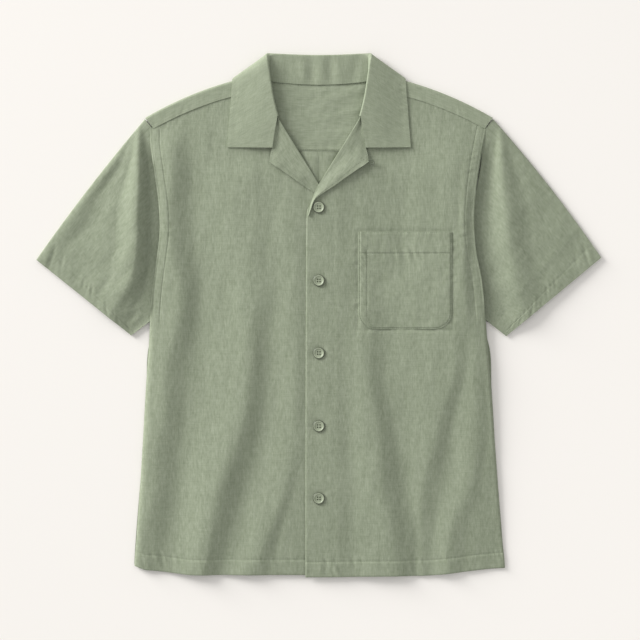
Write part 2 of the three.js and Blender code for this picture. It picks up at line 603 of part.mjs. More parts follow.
function collar() {
  const half = COLLAR.map(collarRow);
  const mirrored = half.slice(1).reverse().map((row) => row.map((p) => new THREE.Vector3(-p.x, p.y, p.z)));
  const grid = [...mirrored, ...half];
  const gorgeCells = COLLAR.length - 1 - GORGE_ROW;
  const isGorge = (i) => i < gorgeCells || i >= grid.length - 1 - gorgeCells;
  const leafStart = STAND_STEPS.length + ROLL_ANGLES.length - 1;
  return wall(grid, COLLAR_CLOTH, -1, (i, j) => !isGorge(i) || j >= leafStart);
}
addPiece("collar", collar(), shirting);

// Lapels: the top of each front turned back along its fold line.
function lapelRow(row, isLeft) {
  const fold = new THREE.Vector3(row.rx, row.ry, 0);
  const edge = new THREE.Vector3(row.ex, row.ey, 0);
  const width = fold.distanceTo(edge);
  const out = edge.clone().sub(fold).normalize();
  const surface = (p) => frontHeight(isLeft ? p.x : -p.x, p.y, isLeft);
  const centre = fold.clone().addScaledVector(out, row.r);
  centre.z = surface(centre) - CLOTH + row.r;
  const place = (distance, z) => fold.clone().addScaledVector(out, distance).setZ(z);
  const points = [place(row.r + LAPEL_TUCK, centre.z - row.r)];
  for (const angle of ROLL_ANGLES) {
    const a = THREE.MathUtils.degToRad(angle);
    points.push(place(row.r - row.r * Math.cos(a), centre.z + row.r * Math.sin(a)));
  }
  for (const share of LAPEL_STEPS) {
    const distance = row.r + (width - row.r) * share;
    const lift = THREE.MathUtils.lerp(2 * row.r - CLOTH, LAPEL_EDGE_LIFT, share);
    const p = place(distance, 0);
    points.push(p.setZ(surface(p) + Math.max(lift, CLOTH + LAYER_GAP + 0.1)));
  }
  return points.map((p) => p.setX(isLeft ? p.x : -p.x));
}

function lapel(isLeft) {
  const rows = isLeft ? LAPEL : LAPEL.slice(0, -1);
  return wall(rows.map((row) => lapelRow(row, isLeft)), CLOTH, isLeft ? -1 : 1);
}
addPiece("lapel_left", lapel(true), shirting);
addPiece("lapel_right", lapel(false), shirting);

// Patch pocket, made from points of the left front, moved out. Its lower corners are round.
const POCKET_COLUMNS = evenSteps(0, 1, 12);
const POCKET_ROWS = [0, 0.12, 0.3, 0.5, 0.68, 0.83, 0.9, 0.95, 0.98, 1];

function pocket() {
  const lift = LAYER_GAP + CLOTH + 0.45;
  const height = POCKET.top - POCKET.bottom;
  const grid = POCKET_ROWS.map((row) => {
    const y = POCKET.top - height * row;
    const inCorner = Math.max(0, POCKET.corner - (y - POCKET.bottom)) / POCKET.corner;
    const inset = POCKET.corner * (1 - Math.sqrt(Math.max(0, 1 - inCorner * inCorner)));
    return POCKET_COLUMNS.map((column) => {
      const x = THREE.MathUtils.lerp(POCKET.left + inset, POCKET.right - inset, column);
      return new THREE.Vector3(x, y, frontSurface(x, y, true) + lift);
    });
  });
  return wall(grid, CLOTH, -1);
}
addPiece("pocket", pocket(), shirting);

// Buttons: a dished disc with a rim and four holes, lying on the placket.
const manifold = await Module();
manifold.setup();

function solidOf(geometry) {
  const position = geometry.getAttribute("position");
  const keys = new Map();
  const vertices = [];
  const order = [];
  for (let i = 0; i < position.count; i++) {
    const p = [position.getX(i), position.getY(i), position.getZ(i)];
    const key = p.map((value) => Math.round(value * 1000)).join();
    if (!keys.has(key)) {
      keys.set(key, vertices.length / 3);
      vertices.push(...p);
    }
    order.push(keys.get(key));
  }
  const corners = geometry.index ? Array.from(geometry.index.array, (i) => order[i]) : order;
  const triangles = [];
  for (let i = 0; i < corners.length; i += 3) {
    const [a, b, c] = corners.slice(i, i + 3);
    if (a !== b && b !== c && a !== c) triangles.push(a, b, c);
  }
  return new manifold.Manifold(
    new manifold.Mesh({
      numProp: 3,
      vertProperties: new Float32Array(vertices),
      triVerts: new Uint32Array(triangles),
    }),
  );
}

function geometryOf(solid) {
  const mesh = solid.getMesh();
  const geometry = new THREE.BufferGeometry();
  geometry.setAttribute("position", new THREE.BufferAttribute(new Float32Array(mesh.vertProperties), 3));
  geometry.setIndex(new THREE.BufferAttribute(new Uint32Array(mesh.triVerts), 1));
  geometry.computeVertexNormals();
  return geometry;
}

function button() {
  const floor = BUTTON_THICK - BUTTON_DISH;
  const profile = [
    new THREE.Vector2(0, 0),
    new THREE.Vector2(BUTTON_RADIUS - 1, 0),
    new THREE.Vector2(BUTTON_RADIUS, BUTTON_THICK / 2),
    new THREE.Vector2(BUTTON_RADIUS - 0.6, BUTTON_THICK),
    new THREE.Vector2(BUTTON_RADIUS - BUTTON_RIM, BUTTON_THICK),
    new THREE.Vector2(BUTTON_RADIUS - BUTTON_RIM - 0.9, floor),
    new THREE.Vector2(0, floor),
  ];
  let solid = solidOf(new THREE.LatheGeometry(profile, 20).rotateX(Math.PI / 2));
  for (const [sx, sy] of [[1, 1], [-1, 1], [-1, -1], [1, -1]]) {
    const drill = new THREE.CylinderGeometry(BUTTON_HOLE, BUTTON_HOLE, 3 * BUTTON_THICK, 8).rotateX(Math.PI / 2);
    solid = solid.subtract(solidOf(drill.translate(sx * BUTTON_HOLE_OUT, sy * BUTTON_HOLE_OUT, 0)));
  }
  return geometryOf(solid);
}

// The height at which a flat disc rests on the left front
function buttonSeat(x, y) {
  let seat = 0;
  for (let angle = 0; angle < 360; angle += 30)
    for (const radius of [0, BUTTON_RADIUS / 2, BUTTON_RADIUS]) {
      const a = THREE.MathUtils.degToRad(angle);
      seat = Math.max(seat, frontHeight(x + radius * Math.cos(a), y + radius * Math.sin(a), true));
    }
  return seat + LAYER_GAP;
}

for (let i = 0; i < BUTTON_COUNT; i++) {
  const y = BUTTON_TOP_Y - i * BUTTON_PITCH;
  const disc = button();
  addPiece(`button_${i + 1}`, disc.translate(0, y, buttonSeat(0, y)), buttonStock);
}

// Loop of cord for the neck button, standing out of the left lapel's point.
const LOOP_CORD = 0.8;
const LOOP = { x: 71.6, y: 214.2, length: 5.4, half: 2.2, angle: -24 };

function neckLoop() {
  const a = THREE.MathUtils.degToRad(LOOP.angle);
  const z = frontHeight(LOOP.x, LOOP.y, true) + LAYER_GAP + LOOP_CORD;
  const outline = [
    [0, LOOP.half * 0.7],
    [0.55 * LOOP.length, LOOP.half],
    [LOOP.length, 0],
    [0.55 * LOOP.length, -LOOP.half],
    [0, -LOOP.half * 0.7],
  ].map(([u, v]) => {
    const x = LOOP.x + u * Math.cos(a) - v * Math.sin(a);
    return new THREE.Vector3(x, LOOP.y + u * Math.sin(a) + v * Math.cos(a), z);
  });
  const path = new THREE.CatmullRomCurve3(outline);
  const section = new THREE.Shape(evenSteps(0, 300, 5).map((angle) => {
    const b = THREE.MathUtils.degToRad(angle);
    return new THREE.Vector2(LOOP_CORD * Math.cos(b), LOOP_CORD * Math.sin(b));
  }));
  return new THREE.ExtrudeGeometry(section, { steps: 14, extrudePath: path });
}
addPiece("neck_loop", neckLoop(), thread);

export default shirt;
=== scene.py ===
import math

import bpy
import bmesh
import numpy as np
from mathutils import Matrix


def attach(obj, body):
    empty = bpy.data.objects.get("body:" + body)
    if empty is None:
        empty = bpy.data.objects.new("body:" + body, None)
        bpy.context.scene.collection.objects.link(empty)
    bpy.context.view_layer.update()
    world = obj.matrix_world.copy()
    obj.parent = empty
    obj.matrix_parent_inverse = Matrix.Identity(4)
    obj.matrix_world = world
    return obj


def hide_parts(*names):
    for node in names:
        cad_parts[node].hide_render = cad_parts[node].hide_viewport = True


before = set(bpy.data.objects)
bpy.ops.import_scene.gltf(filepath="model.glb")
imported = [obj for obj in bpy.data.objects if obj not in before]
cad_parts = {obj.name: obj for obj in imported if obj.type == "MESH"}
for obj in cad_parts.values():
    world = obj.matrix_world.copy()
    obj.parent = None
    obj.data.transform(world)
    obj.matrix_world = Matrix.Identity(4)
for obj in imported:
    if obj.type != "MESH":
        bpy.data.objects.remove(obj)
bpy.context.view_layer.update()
scene = bpy.context.scene


# The studio: the shirt is photographed from straight above on warm white paper, through a long lens. One
# large soft lamp stands low and far off at the upper left and rakes the folds, and a weaker light comes
# from all round. The paper is toned a little darker on the lamp's side, where the lamp is stronger.
VIEW_WIDTH, LENS, SENSOR = 0.896, 100, 36
AWAY_FROM_LAMP = (0.819, -0.574, 0)


def put(name, data):
    """A new object in the scene."""
    thing = bpy.data.objects.new(name, data)
    scene.collection.objects.link(thing)
    return thing


def give(socket, value):
    """Set a shader socket to a value, or link it to another node's socket."""
    if isinstance(value, bpy.types.NodeSocket):
        socket.id_data.links.new(value, socket)
    else:
        socket.default_value = value


def feed(node, **values):
    """Set or link sockets of a shader node by their names."""
    for name, value in values.items():
        give(node.inputs[name.replace("_", " ")], value)


def add_node(nodes, kind, operation=None, **values):
    """A new shader node, with values or links for its sockets."""
    node = nodes.new("ShaderNode" + kind)
    if operation:
        node.operation = operation
    feed(node, **values)
    return node


def new_finish(name):
    """A new material, with its nodes and its surface."""
    finish = bpy.data.materials.new(name)
    finish.use_nodes = True
    nodes = finish.node_tree.nodes
    return finish, nodes, nodes["Principled BSDF"]


camera = put("camera", bpy.data.cameras.new("camera"))
camera.data.lens = LENS
camera.data.sensor_width = SENSOR
camera.location = (0.0014, -0.0063, VIEW_WIDTH * LENS / SENSOR + 0.005)
scene.camera = camera

bpy.ops.object.select_all(action="DESELECT")
bpy.ops.mesh.primitive_plane_add(size=6, location=(0, 0, -0.0004))
paper = bpy.context.object
paper.name = "paper"
paper_white, nodes, surface = new_finish("paper_white")
place = add_node(nodes, "TexCoord").outputs["Object"]
away = add_node(nodes, "VectorMath", "DOT_PRODUCT", Vector=place)
away.inputs[1].default_value = AWAY_FROM_LAMP
tones = add_node(nodes, "MapRange", Value=away.outputs["Value"], From_Min=-0.6, From_Max=0.6,
                 To_Min=0.86, To_Max=1.072)
tint = add_node(nodes, "VectorMath", "SCALE", Vector=(0.917, 0.8906, 0.8566), Scale=tones.outputs["Result"])
feed(surface, Base_Color=tint.outputs["Vector"], Roughness=0.95)
paper.data.materials.append(paper_white)

key = put("key", bpy.data.lights.new("key", "AREA"))
key.data.shape = "DISK"
key.data.size = 2.8
key.data.energy = 432
key.data.color = (1.0, 0.99, 0.975)
key.location = (-4.094, 2.869, 1.433)
key.rotation_euler = (math.radians(74), 0, math.radians(235))

room = bpy.data.worlds.new("room")
room.use_nodes = True
room.node_tree.nodes["Background"].inputs["Color"].default_value = (1.0, 0.995, 0.985, 1)
room.node_tree.nodes["Background"].inputs["Strength"].default_value = 0.647
scene.world = room
scene.view_settings.view_transform = "Standard"


# The shirting: a plain-woven linen and cotton cloth in sage green, with uneven slubs both ways, a little
# lighter and darker from thread to thread. Its pattern follows each piece's own cut, whose map is in
# metres.
def colour_ramp(nodes, shade, dark, light, low=0.0, high=1.0):
    """The colour from one at a low shade to another at a high one."""
    ramp = add_node(nodes, "ValToRGB", Fac=shade)
    for element, place, colour in zip(ramp.color_ramp.elements, (low, high), (dark, light)):
        element.position = place
        element.color = (*colour, 1)
    return ramp.outputs["Color"]


def shirting_cloth(name, tone=1.0, crosswise=False, plain=1.0):
    """The shirting in a tone, with its warp along x or crosswise, and with less mottle where it is plain."""
    cloth, nodes, surface = new_finish(name)
    cut = add_node(nodes, "TexCoord").outputs["UV"]

    def threads(across, along, detail, seed):
        size = (along, across, 1) if crosswise else (across, along, 1)
        stretch = add_node(nodes, "Mapping", Vector=cut, Scale=size, Location=(seed, seed, seed))
        noise = add_node(nodes, "TexNoise", Vector=stretch.outputs["Vector"], Scale=1, Detail=detail,
                         Roughness=0.6)
        return noise.outputs["Fac"]

    def maths(operation, *values):
        node = add_node(nodes, "Math", operation)
        for socket, value in zip(node.inputs, values):
            give(socket, value)
        return node.outputs[0]

    def mixed(*parts):
        total = 0.0
        for share, pattern in parts:
            total = maths("MULTIPLY_ADD", pattern, share, total)
        return total

    warp = threads(900, 60, 2, 0.0)
    weft = threads(50, 900, 2, 3.7)
    slub = threads(60, 1100, 0, 8.1)
    mottle = threads(330, 130, 3, 1.3)
    streak = threads(85, 14, 2, 5.9)
    weave = add_node(nodes, "TexChecker", Vector=cut, Scale=1400).outputs["Fac"]

    shade = mixed((1.0, warp), (0.5, weft), (0.25, slub), (1.15 * plain, mottle), (0.4 * plain, streak),
                  (0.08, weave))
    usual_shade = 0.875 + 0.775 * plain
    dark, light = (0.213, 0.246, 0.169), (0.350, 0.389, 0.293)
    shade = maths("MULTIPLY", maths("ADD", shade, 1.7 - usual_shade), 0.275)
    colour = colour_ramp(nodes, shade, [tone * c for c in dark], [tone * c for c in light], 0.36, 0.66)
    rough = add_node(nodes, "MapRange", Value=weft, To_Min=0.78, To_Max=0.98)
    grain = mixed((0.6, warp), (0.6, weft), (0.25, weave), (1.2, mottle))
    bump = add_node(nodes, "Bump", Strength=0.4, Distance=0.0007, Height=grain)
    feed(surface, Base_Color=colour, Roughness=rough.outputs["Result"], Normal=bump.outputs["Normal"],
         Sheen_Weight=0.03, Sheen_Roughness=0.5, Specular_IOR_Level=0.15)
    return cloth


# The collar's and the yoke's copies of the shirting are made lighter by their tone. This is painted light,
# which brightens the collar and the inside of the neck where the lamp leaves them in shade.
shirting = shirting_cloth("shirting", 1.02)
collar_shirting_painted_light = shirting_cloth("collar_shirting_painted_light", 1.1, plain=0.55)
cross_shirting_painted_light = shirting_cloth("cross_shirting_painted_light", 1.075, crosswise=True, plain=0.6)


# The back panel: one piece of shirting below the yoke, cut wider for a box pleat that is folded in at the
# centre back and caught in the yoke seam. The shirt lies on it, and only its top shows, inside the neck.
CLOTH = 0.6
SIDE_SEAM = [(276, 243.5), (262, 233.5), (212, 227), (165, 219), (122, 215.5), (80, 216), (40, 217),
             (6, 218.4), (-35, 236.5), (-105, 242), (-200, 248), (-330, 258), (-366, 260)]
YOKE_SEAM_Y = 230.3


def smooth(a, b, value):
    t = np.clip((np.asarray(value, float) - a) / (b - a), 0, 1)
    return t * t * (3 - 2 * t)


def bell(value, width):
    return np.exp(-((value / width) ** 2))


def hermite(positions, values, at):
    """Values at places on a smooth curve through the given ones."""
    slopes = np.gradient(values, positions, axis=0)
    at = np.clip(at, positions[0], positions[-1])
    i = np.clip(np.searchsorted(positions, at, side="right") - 1, 0, len(positions) - 2)
    step = positions[i + 1] - positions[i]
    t = (at - positions[i]) / step
    if values.ndim > 1:
        t, step = t[..., None], step[..., None]
    h = t * t * (3 - 2 * t)
    bend = slopes[i] * t * (1 - t) ** 2 - slopes[i + 1] * t * t * (1 - t)
    return values[i] + (values[i + 1] - values[i]) * h + step * bend


def read(table, y):
    """The second column of a table whose first column, y, falls from row to row."""
    rows = np.array(table, float)[::-1]
    return hermite(rows[:, 0], rows[:, 1], np.asarray(y, float))


def run_along(line):
    """How far along a line each of its points is."""
    return np.concatenate([[0], np.cumsum(np.linalg.norm(np.diff(line, axis=0), axis=1))])


def at_runs(line, run, wanted):
    """The points of a line at the wanted distances along it."""
    return np.stack([np.interp(wanted, run, line[:, k]) for k in range(line.shape[1])], axis=1)


def through(points, step):
    """Points about step apart along a smooth line through the given ones."""
    points = np.array(points, float)
    last = len(points) - 1
    fine = hermite(np.arange(last + 1.0), points, np.linspace(0, last, 24 * len(points)))
    run = run_along(fine)
    wanted = np.linspace(0, run[-1], max(2, int(round(run[-1] / step)) + 1))
    return at_runs(fine, run, wanted)


def beside(x, y, path, step=9):
    """How far each point is from a path, positive on its left, how far along it is, and the path's length."""
    points = through(path, step)
    off, run, total = np.full(np.shape(x), 1e9), np.zeros(np.shape(x)), 0.0
    for a, b in zip(points, points[1:]):
        d = b - a
        length = math.hypot(*d)
        t = np.clip(((x - a[0]) * d[0] + (y - a[1]) * d[1]) / length**2, 0, 1)
        distance = np.hypot(x - a[0] - t * d[0], y - a[1] - t * d[1])
        near = distance < np.abs(off)
        left = np.where(d[0] * (y - a[1]) - d[1] * (x - a[0]) < 0, -1, 1)
        off = np.where(near, distance * left, off)
        run = np.where(near, total + t * length, run)
        total += length
    return off, run, total


def ridge(x, y, path, height, right, left, head=0.25, foot=0.25):
    """A soft fold along a path, with its widths on the right and left hand, that fades at its ends."""
    off, run, total = beside(x, y, path)
    ends = smooth(0, head * total + 1e-6, run) * (1 - smooth((1 - foot) * total - 1e-6, total, run))
    return height * bell(off, np.where(off < 0, right, left)) * ends


def crumple(x, y, size, seed, stretch=1.0):
    """Uneven soft relief from about -1 to 1, in waves of about the given size, longer along y by stretch."""
    random = np.random.default_rng(seed)
    total = np.zeros(np.shape(x))
    for _ in range(11):
        angle, phase = random.uniform(0, math.pi), random.uniform(0, 2 * math.pi)
        wave = 2 * math.pi / (size * random.uniform(0.65, 1.8))
        total += np.sin(wave * (x * math.cos(angle) + y / stretch * math.sin(angle)) + phase)
    return total / 4.7


def pucker(run, off, depth, reach, seed, short=6, long=19):
    """The gathers that a row of stitches draws into cloth: ripples along the seam that fade away from it."""
    random = np.random.default_rng(seed)
    ripple, swell = np.zeros(np.shape(run)), np.zeros(np.shape(run))
    for _ in range(8):
        length = random.uniform(short, long)
        ripple += np.sin(2 * math.pi * (run + 0.35 * off) / length + random.uniform(0, 7))
        length = random.uniform(40, 130)
        swell += np.sin(2 * math.pi * run / length + random.uniform(0, 7))
    return depth * (ripple / 4) * (0.75 + 0.2 * swell) * bell(off, reach)


def laid_out(points, axis):
    """How far along the cloth each point of a grid is from the grid's first row (0) or first column (1)."""
    steps = np.diff(points, axis=axis, prepend=np.take(points, [0], axis=axis))
    return np.cumsum(np.linalg.norm(steps, axis=2), axis=axis)


def cut_map(across, along):
    return np.stack(np.broadcast_arrays(across, along), axis=-1)


def pick(piece):
    """Make a piece the only one that is selected."""
    bpy.ops.object.select_all(action="DESELECT")
    bpy.context.view_layer.objects.active = piece
    piece.select_set(True)


def make_cloth(name, points, flat, cloth=CLOTH, turned=False, there=None, finish=None):
    """A piece of cloth from a grid of points on its outer face, in millimetres, and the grid laid flat."""
    rows, columns = points.shape[:2]
    number = np.arange(rows * columns).reshape(rows, columns)
    corners = np.stack([number[:-1, :-1], number[1:, :-1], number[1:, 1:], number[:-1, 1:]], axis=-1)
    corners = corners[there] if there is not None else corners.reshape(-1, 4)
    if turned:
        corners = corners[:, ::-1]
    mesh = bpy.data.meshes.new(name)
    mesh.from_pydata((points.reshape(-1, 3) / 1000).tolist(), [], corners.tolist())
    cut = mesh.uv_layers.new(name="cut")
    cut.data.foreach_set("uv", (flat.reshape(-1, 2) / 1000)[corners.reshape(-1)].reshape(-1))
    shape = bmesh.new()
    shape.from_mesh(mesh)
    bmesh.ops.delete(shape, geom=[v for v in shape.verts if not v.link_faces], context="VERTS")
    bmesh.ops.remove_doubles(shape, verts=shape.verts, dist=2e-6)
    shape.to_mesh(mesh)
    shape.free()
    piece = put(name, mesh)
    mesh.materials.append(finish or shirting)
    wall = piece.modifiers.new("cloth", "SOLIDIFY")
    wall.thickness = cloth / 1000
    wall.offset = -1
    pick(piece)
    bpy.ops.object.modifier_apply(modifier="cloth")
    bpy.ops.object.shade_smooth_by_angle(angle=math.radians(50))
    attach(piece, "root")
    return piece


def pleat_section():
    """The outer face of the back across the box pleat, whose two folds meet at the middle."""
    floor, level, bend, top, slit, inner = 0.5, 1.3, 0.65, 3.1, 0.05, 19
    turns = (0.8, 1.6, 2.3)
    half = [(31, floor), (25, 1.6), (21, 2.8), (14, top), (7, top), (slit, top)]
    half += [(slit, floor + level + bend + bend * math.cos(turn)) for turn in turns]
    half += [(slit, floor + level), (10, floor + level), (inner, floor + level)]
    half += [(inner + bend * math.sin(turn), floor + bend + bend * math.cos(turn)) for turn in turns]
    half += [(inner, floor), (9, floor), (0, floor)]
    return half + [(-x, z) for x, z in half[-2::-1]]


def back_edge(y):
    """The side of the back: under the sleeve above the armhole's foot, and in the side seam below it."""
    hidden = read(SIDE_SEAM, y) - 0.5
    return np.where(y > 4, hidden, np.where(y > -7.5, 217.9 + (4 - y) * 1.25, read(SIDE_SEAM, y)))


def neck_lift(x):
    """How far the back of the neck is held off the surface by the collar, across the shirt."""
    return (3.0 - 1.6 * smooth(40, 85, abs(x))) * (1 - smooth(123, 137, abs(x)))


back_y = np.concatenate([np.linspace(YOKE_SEAM_Y - 0.5, 180, 22), np.linspace(174, -348, 88)])
section = np.array(pleat_section())
sides = np.linspace(1, 0, 36)[:-1]
back_points = []
for y in back_y:
    edge = float(back_edge(y))
    out = [(31 + (edge - 31) * s, 0.5) for s in sides]
    across = np.array(out + section.tolist() + [(-x, z) for x, z in out[::-1]])
    dip = -14 * (1 - (across[:, 0] / edge) ** 2) * float(smooth(-335, -348, y))
    back_points.append(np.stack([across[:, 0], np.full(len(across), y) + dip, across[:, 1]], axis=1))
back_points = np.array(back_points)
x, y = back_points[..., 0], back_points[..., 1]
wave = 0.5 + 0.5 * crumple(x, y, 34, 11, 2.5)
back_points[..., 2] += 1.1 * wave * smooth(150, 200, y) * (1 - smooth(45, 70, abs(x)))
back_points[..., 2] += neck_lift(x) * smooth(150, 226, y)
for path, rise in (([(-8, 228), (-7, 190), (-10, 150)], 1.5), ([(13, 228), (12, 196), (9, 150)], 1.7)):
    back_points[..., 2] += ridge(x, y, path, rise, 5, 5, 0.1, 0.4)
back = make_cloth("back_panel", back_points, cut_map(laid_out(back_points, 1)[40], y), 0.7)
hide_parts("back")


# The yoke: a double piece of shirting across the shoulders, stitched over the top of the back. It wraps
# over the shoulder fold and is sewn to the fronts 21 mm down, with its edges turned in and stitched
# along.
NECK_X, NECK_Y = 93, 334
SHOULDER_HEIGHT = 5.4


def shoulder_y(x):
    """The fold along the top of the shoulder."""
    out = abs(x) - NECK_X
    return NECK_Y - 0.19 * out - 0.0013 * out * out


def yoke_section(out):
    """A section of the yoke, so far out, from the back seam over the shoulder to the front seam."""
    shares = np.concatenate([np.linspace(0, 1, 46), np.ones(19)])
    angles = np.radians(np.concatenate([np.full(46, -90), np.linspace(-75, 90, 10), np.full(9, 90)]))
    forward = np.concatenate([np.zeros(56), np.linspace(0.12, 1, 9)])
    crest = shoulder_y(np.maximum(out, NECK_X))
    low = neck_lift(out)
    radius = (SHOULDER_HEIGHT - low) / 2
    neck = 324 + 9 * (out / NECK_X) ** 2 - (radius - 1) * out / NECK_X
    top = np.where(out < NECK_X, neck, crest - radius)
    y = YOKE_SEAM_Y + (top - YOKE_SEAM_Y) * shares + radius * np.cos(angles) * (shares == 1)
    y = y - (21 - radius) * forward
    z = np.where(angles > -1.5, low + radius + radius * np.sin(angles), low)
    flattened = 0.5 * smooth(218, 240, out) * (shares == 1) * (1 + np.sin(angles)) / 2
    return y, np.where(forward > 0, SHOULDER_HEIGHT, z) - flattened


yoke_rows = []
for place in np.concatenate([np.linspace(1, 0, 62), np.linspace(0, -1, 42)[1:]]):
    outs = np.full(65, max(NECK_X * (1 + min(place, 0)), 1e-6))
    for _ in range(4 if place > 0 else 0):
        outs = NECK_X + (read(SIDE_SEAM, yoke_section(outs)[0]) - 0.5 - NECK_X) * place
    yoke_rows.append(np.stack([outs, *yoke_section(outs)], axis=1))
half = np.array(yoke_rows)
yoke_points = np.concatenate([half, half[-2::-1] * (-1, 1, 1)])
yoke_flat = cut_map(yoke_points[..., 0], YOKE_SEAM_Y + laid_out(half, 1)[20])
inside = (0.45 + 0.55 * smooth(46, 40, np.arange(65)))[None, :] * smooth(0, 2, np.arange(65))[None, :]
x, y = yoke_points[..., 0], yoke_points[..., 1]
relief = 0.5 * crumple(x, y, 42, 21, 0.8) + 0.22 * crumple(x, y, 17, 22)
relief += pucker(x, y - YOKE_SEAM_Y - 3, 0.28, 7, 23) + pucker(x, y - 322, 0.3, 9, 24)
yoke_points[..., 2] += inside * (1.3 + relief) * (1 - smooth(70, 100, abs(x)))
yoke_points[:, :3, 2] += np.array([1.6, 1.2, 0.6])[None, :] * (1 - smooth(60, 90, abs(x[:, :3])))
front_strip = np.arange(65) >= 54
puckers = pucker(abs(x), y - shoulder_y(x) + 17, 0.22, 6, 25)
yoke_points[..., 2] += front_strip[None, :] * (puckers + 0.2 * crumple(x, y, 21, 26))
shoulders = 61
rows = np.arange(yoke_points.shape[0] - 1)
there = np.ones((yoke_points.shape[0] - 1, 64), bool)
there[(rows >= shoulders) & (rows < yoke_points.shape[0] - 1 - shoulders), 45:] = False
yoke = make_cloth("yoke_panel", yoke_points, yoke_flat, 0.9, turned=True, there=there, finish=cross_shirting_painted_light)
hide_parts("yoke")


# The stitching: sewing thread, 8 stitches to 25 mm, that lies in the little groove it pulls. The thread is
# painted darker than the cloth, as painted shade in that groove. Every row of it is a row of short grains of
# thread.
thread, nodes, surface = new_finish("sewing_thread_painted_shade")
place = add_node(nodes, "TexCoord").outputs["Object"]
strands = add_node(nodes, "TexNoise", Vector=place, Scale=900).outputs["Fac"]
twist = add_node(nodes, "Bump", Strength=0.4, Distance=0.0002, Height=strands)
# The thread's dark colours are painted shade, far darker than the cloth it is sewn into.
feed(surface, Base_Color=colour_ramp(nodes, strands, (0.08, 0.095, 0.064), (0.17, 0.195, 0.14)),
     Normal=twist.outputs["Normal"], Roughness=0.6)


def sew(name, seams, pitch=3.1, length=2.3, width=0.42, lift=0.08):
    """Rows of stitches along lines that lie on the cloth, each an array of points in millimetres."""
    points, faces = [], []
    for seam in seams:
        seam = np.asarray(seam, float)
        run = run_along(seam)
        starts = np.arange(0.4, run[-1] - length, pitch)
        a, middle, b = (at_runs(seam, run, starts + part * length) for part in (0, 0.5, 1))
        along = (b - a) / np.linalg.norm(b - a, axis=1)[:, None]
        across = np.cross(along, (0, 0, 1))
        across /= np.maximum(np.linalg.norm(across, axis=1), 1e-6)[:, None]
        up = np.cross(across, along)
        middle = middle + up * lift
        first = len(points)
        side = across * width / 2
        ring = [middle + side, middle + up * 0.3, middle - side, middle - up * 0.2]
        grains = np.stack([a - up * 0.12, b - up * 0.12, *ring], axis=1)
        points.extend(grains.reshape(-1, 3).tolist())
        for k in range(len(starts)):
            o = first + 6 * k
            for m in range(4):
                faces.append((o, o + 2 + (m + 1) % 4, o + 2 + m))
                faces.append((o + 1, o + 2 + m, o + 2 + (m + 1) % 4))
    mesh = bpy.data.meshes.new(name)
    mesh.from_pydata([[v / 1000 for v in p] for p in points], [], faces)
    shape = bmesh.new()
    shape.from_mesh(mesh)
    bmesh.ops.recalc_face_normals(shape, faces=shape.faces)
    shape.to_mesh(mesh)
    shape.free()
    mesh.materials.append(thread)
    row = put(name, mesh)
    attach(row, "root")
    return row


def on_grid(points, rows, columns):
    """Points on a piece's grid at fractional rows and columns."""
    rows, columns = np.broadcast_arrays(np.asarray(rows, float), np.asarray(columns, float))
    i = np.clip(rows.astype(int), 0, points.shape[0] - 2)
    j = np.clip(columns.astype(int), 0, points.shape[1] - 2)
    u, v = (rows - i)[..., None], (columns - j)[..., None]
    low = points[i, j] * (1 - v) + points[i, j + 1] * v
    high = points[i + 1, j] * (1 - v) + points[i + 1, j + 1] * v
    return low * (1 - u) + high * u


full = yoke_points.shape[0] - 1
sew("yoke_stitching", [
    on_grid(yoke_points, np.linspace(0, 58, 80), 63.5) + (0, 0, 0.05),
    on_grid(yoke_points, np.linspace(full - 58, full, 80), 63.5) + (0, 0, 0.05),
    on_grid(yoke_points, np.linspace(62, full - 62, 120), 0.9) + (0, 0, 0.95),
    on_grid(yoke_points, np.linspace(76, full - 76, 100), 44.2) + (0, 0, 0.95),
])


# The two fronts: a piece of shirting each from the shoulder seam to the hem. The left one laps over the
# right by 34 mm at the middle. They are creased from wear, lie in long soft folds, and have a hem turned
# up 21 mm.
HEM_DEPTH = 21
FRONT_SIDE = {
    "left": [(276, 243), (262, 234), (257, 233), (224, 226.4), (177, 219.7), (132, 216.8), (90, 219.7),
             (52, 227.2), (-2, 232.6), (-48, 236.5), (-115, 241.6), (-195, 247.2), (-314, 256.6),
             (-353, 260.3), (-366, 260.5)],
    "right": [(276, 244), (262, 237), (243, 235.9), (201, 230.2), (157, 224), (116, 222.7), (74, 227.8),
              (38, 232.6), (-6, 236), (-48, 238.3), (-97, 241.8), (-168, 245.8), (-227, 249.4), (-314, 255.6),
              (-350, 258.2), (-366, 258.5)],
}
FRONT_EDGE = [(334, 92.2), (312.5, 88.5), (296.5, 77.5), (281, 66.5), (273, 61), (228.6, 32.3), (181.6, 4.6),
              (164, -4.0), (155, -10.5), (149, -15.2), (138, -16.8), (120, -17.2), (90, -17.4), (40, -17.6),
              (-40, -18), (-160, -18.4), (-372, -18.6)]
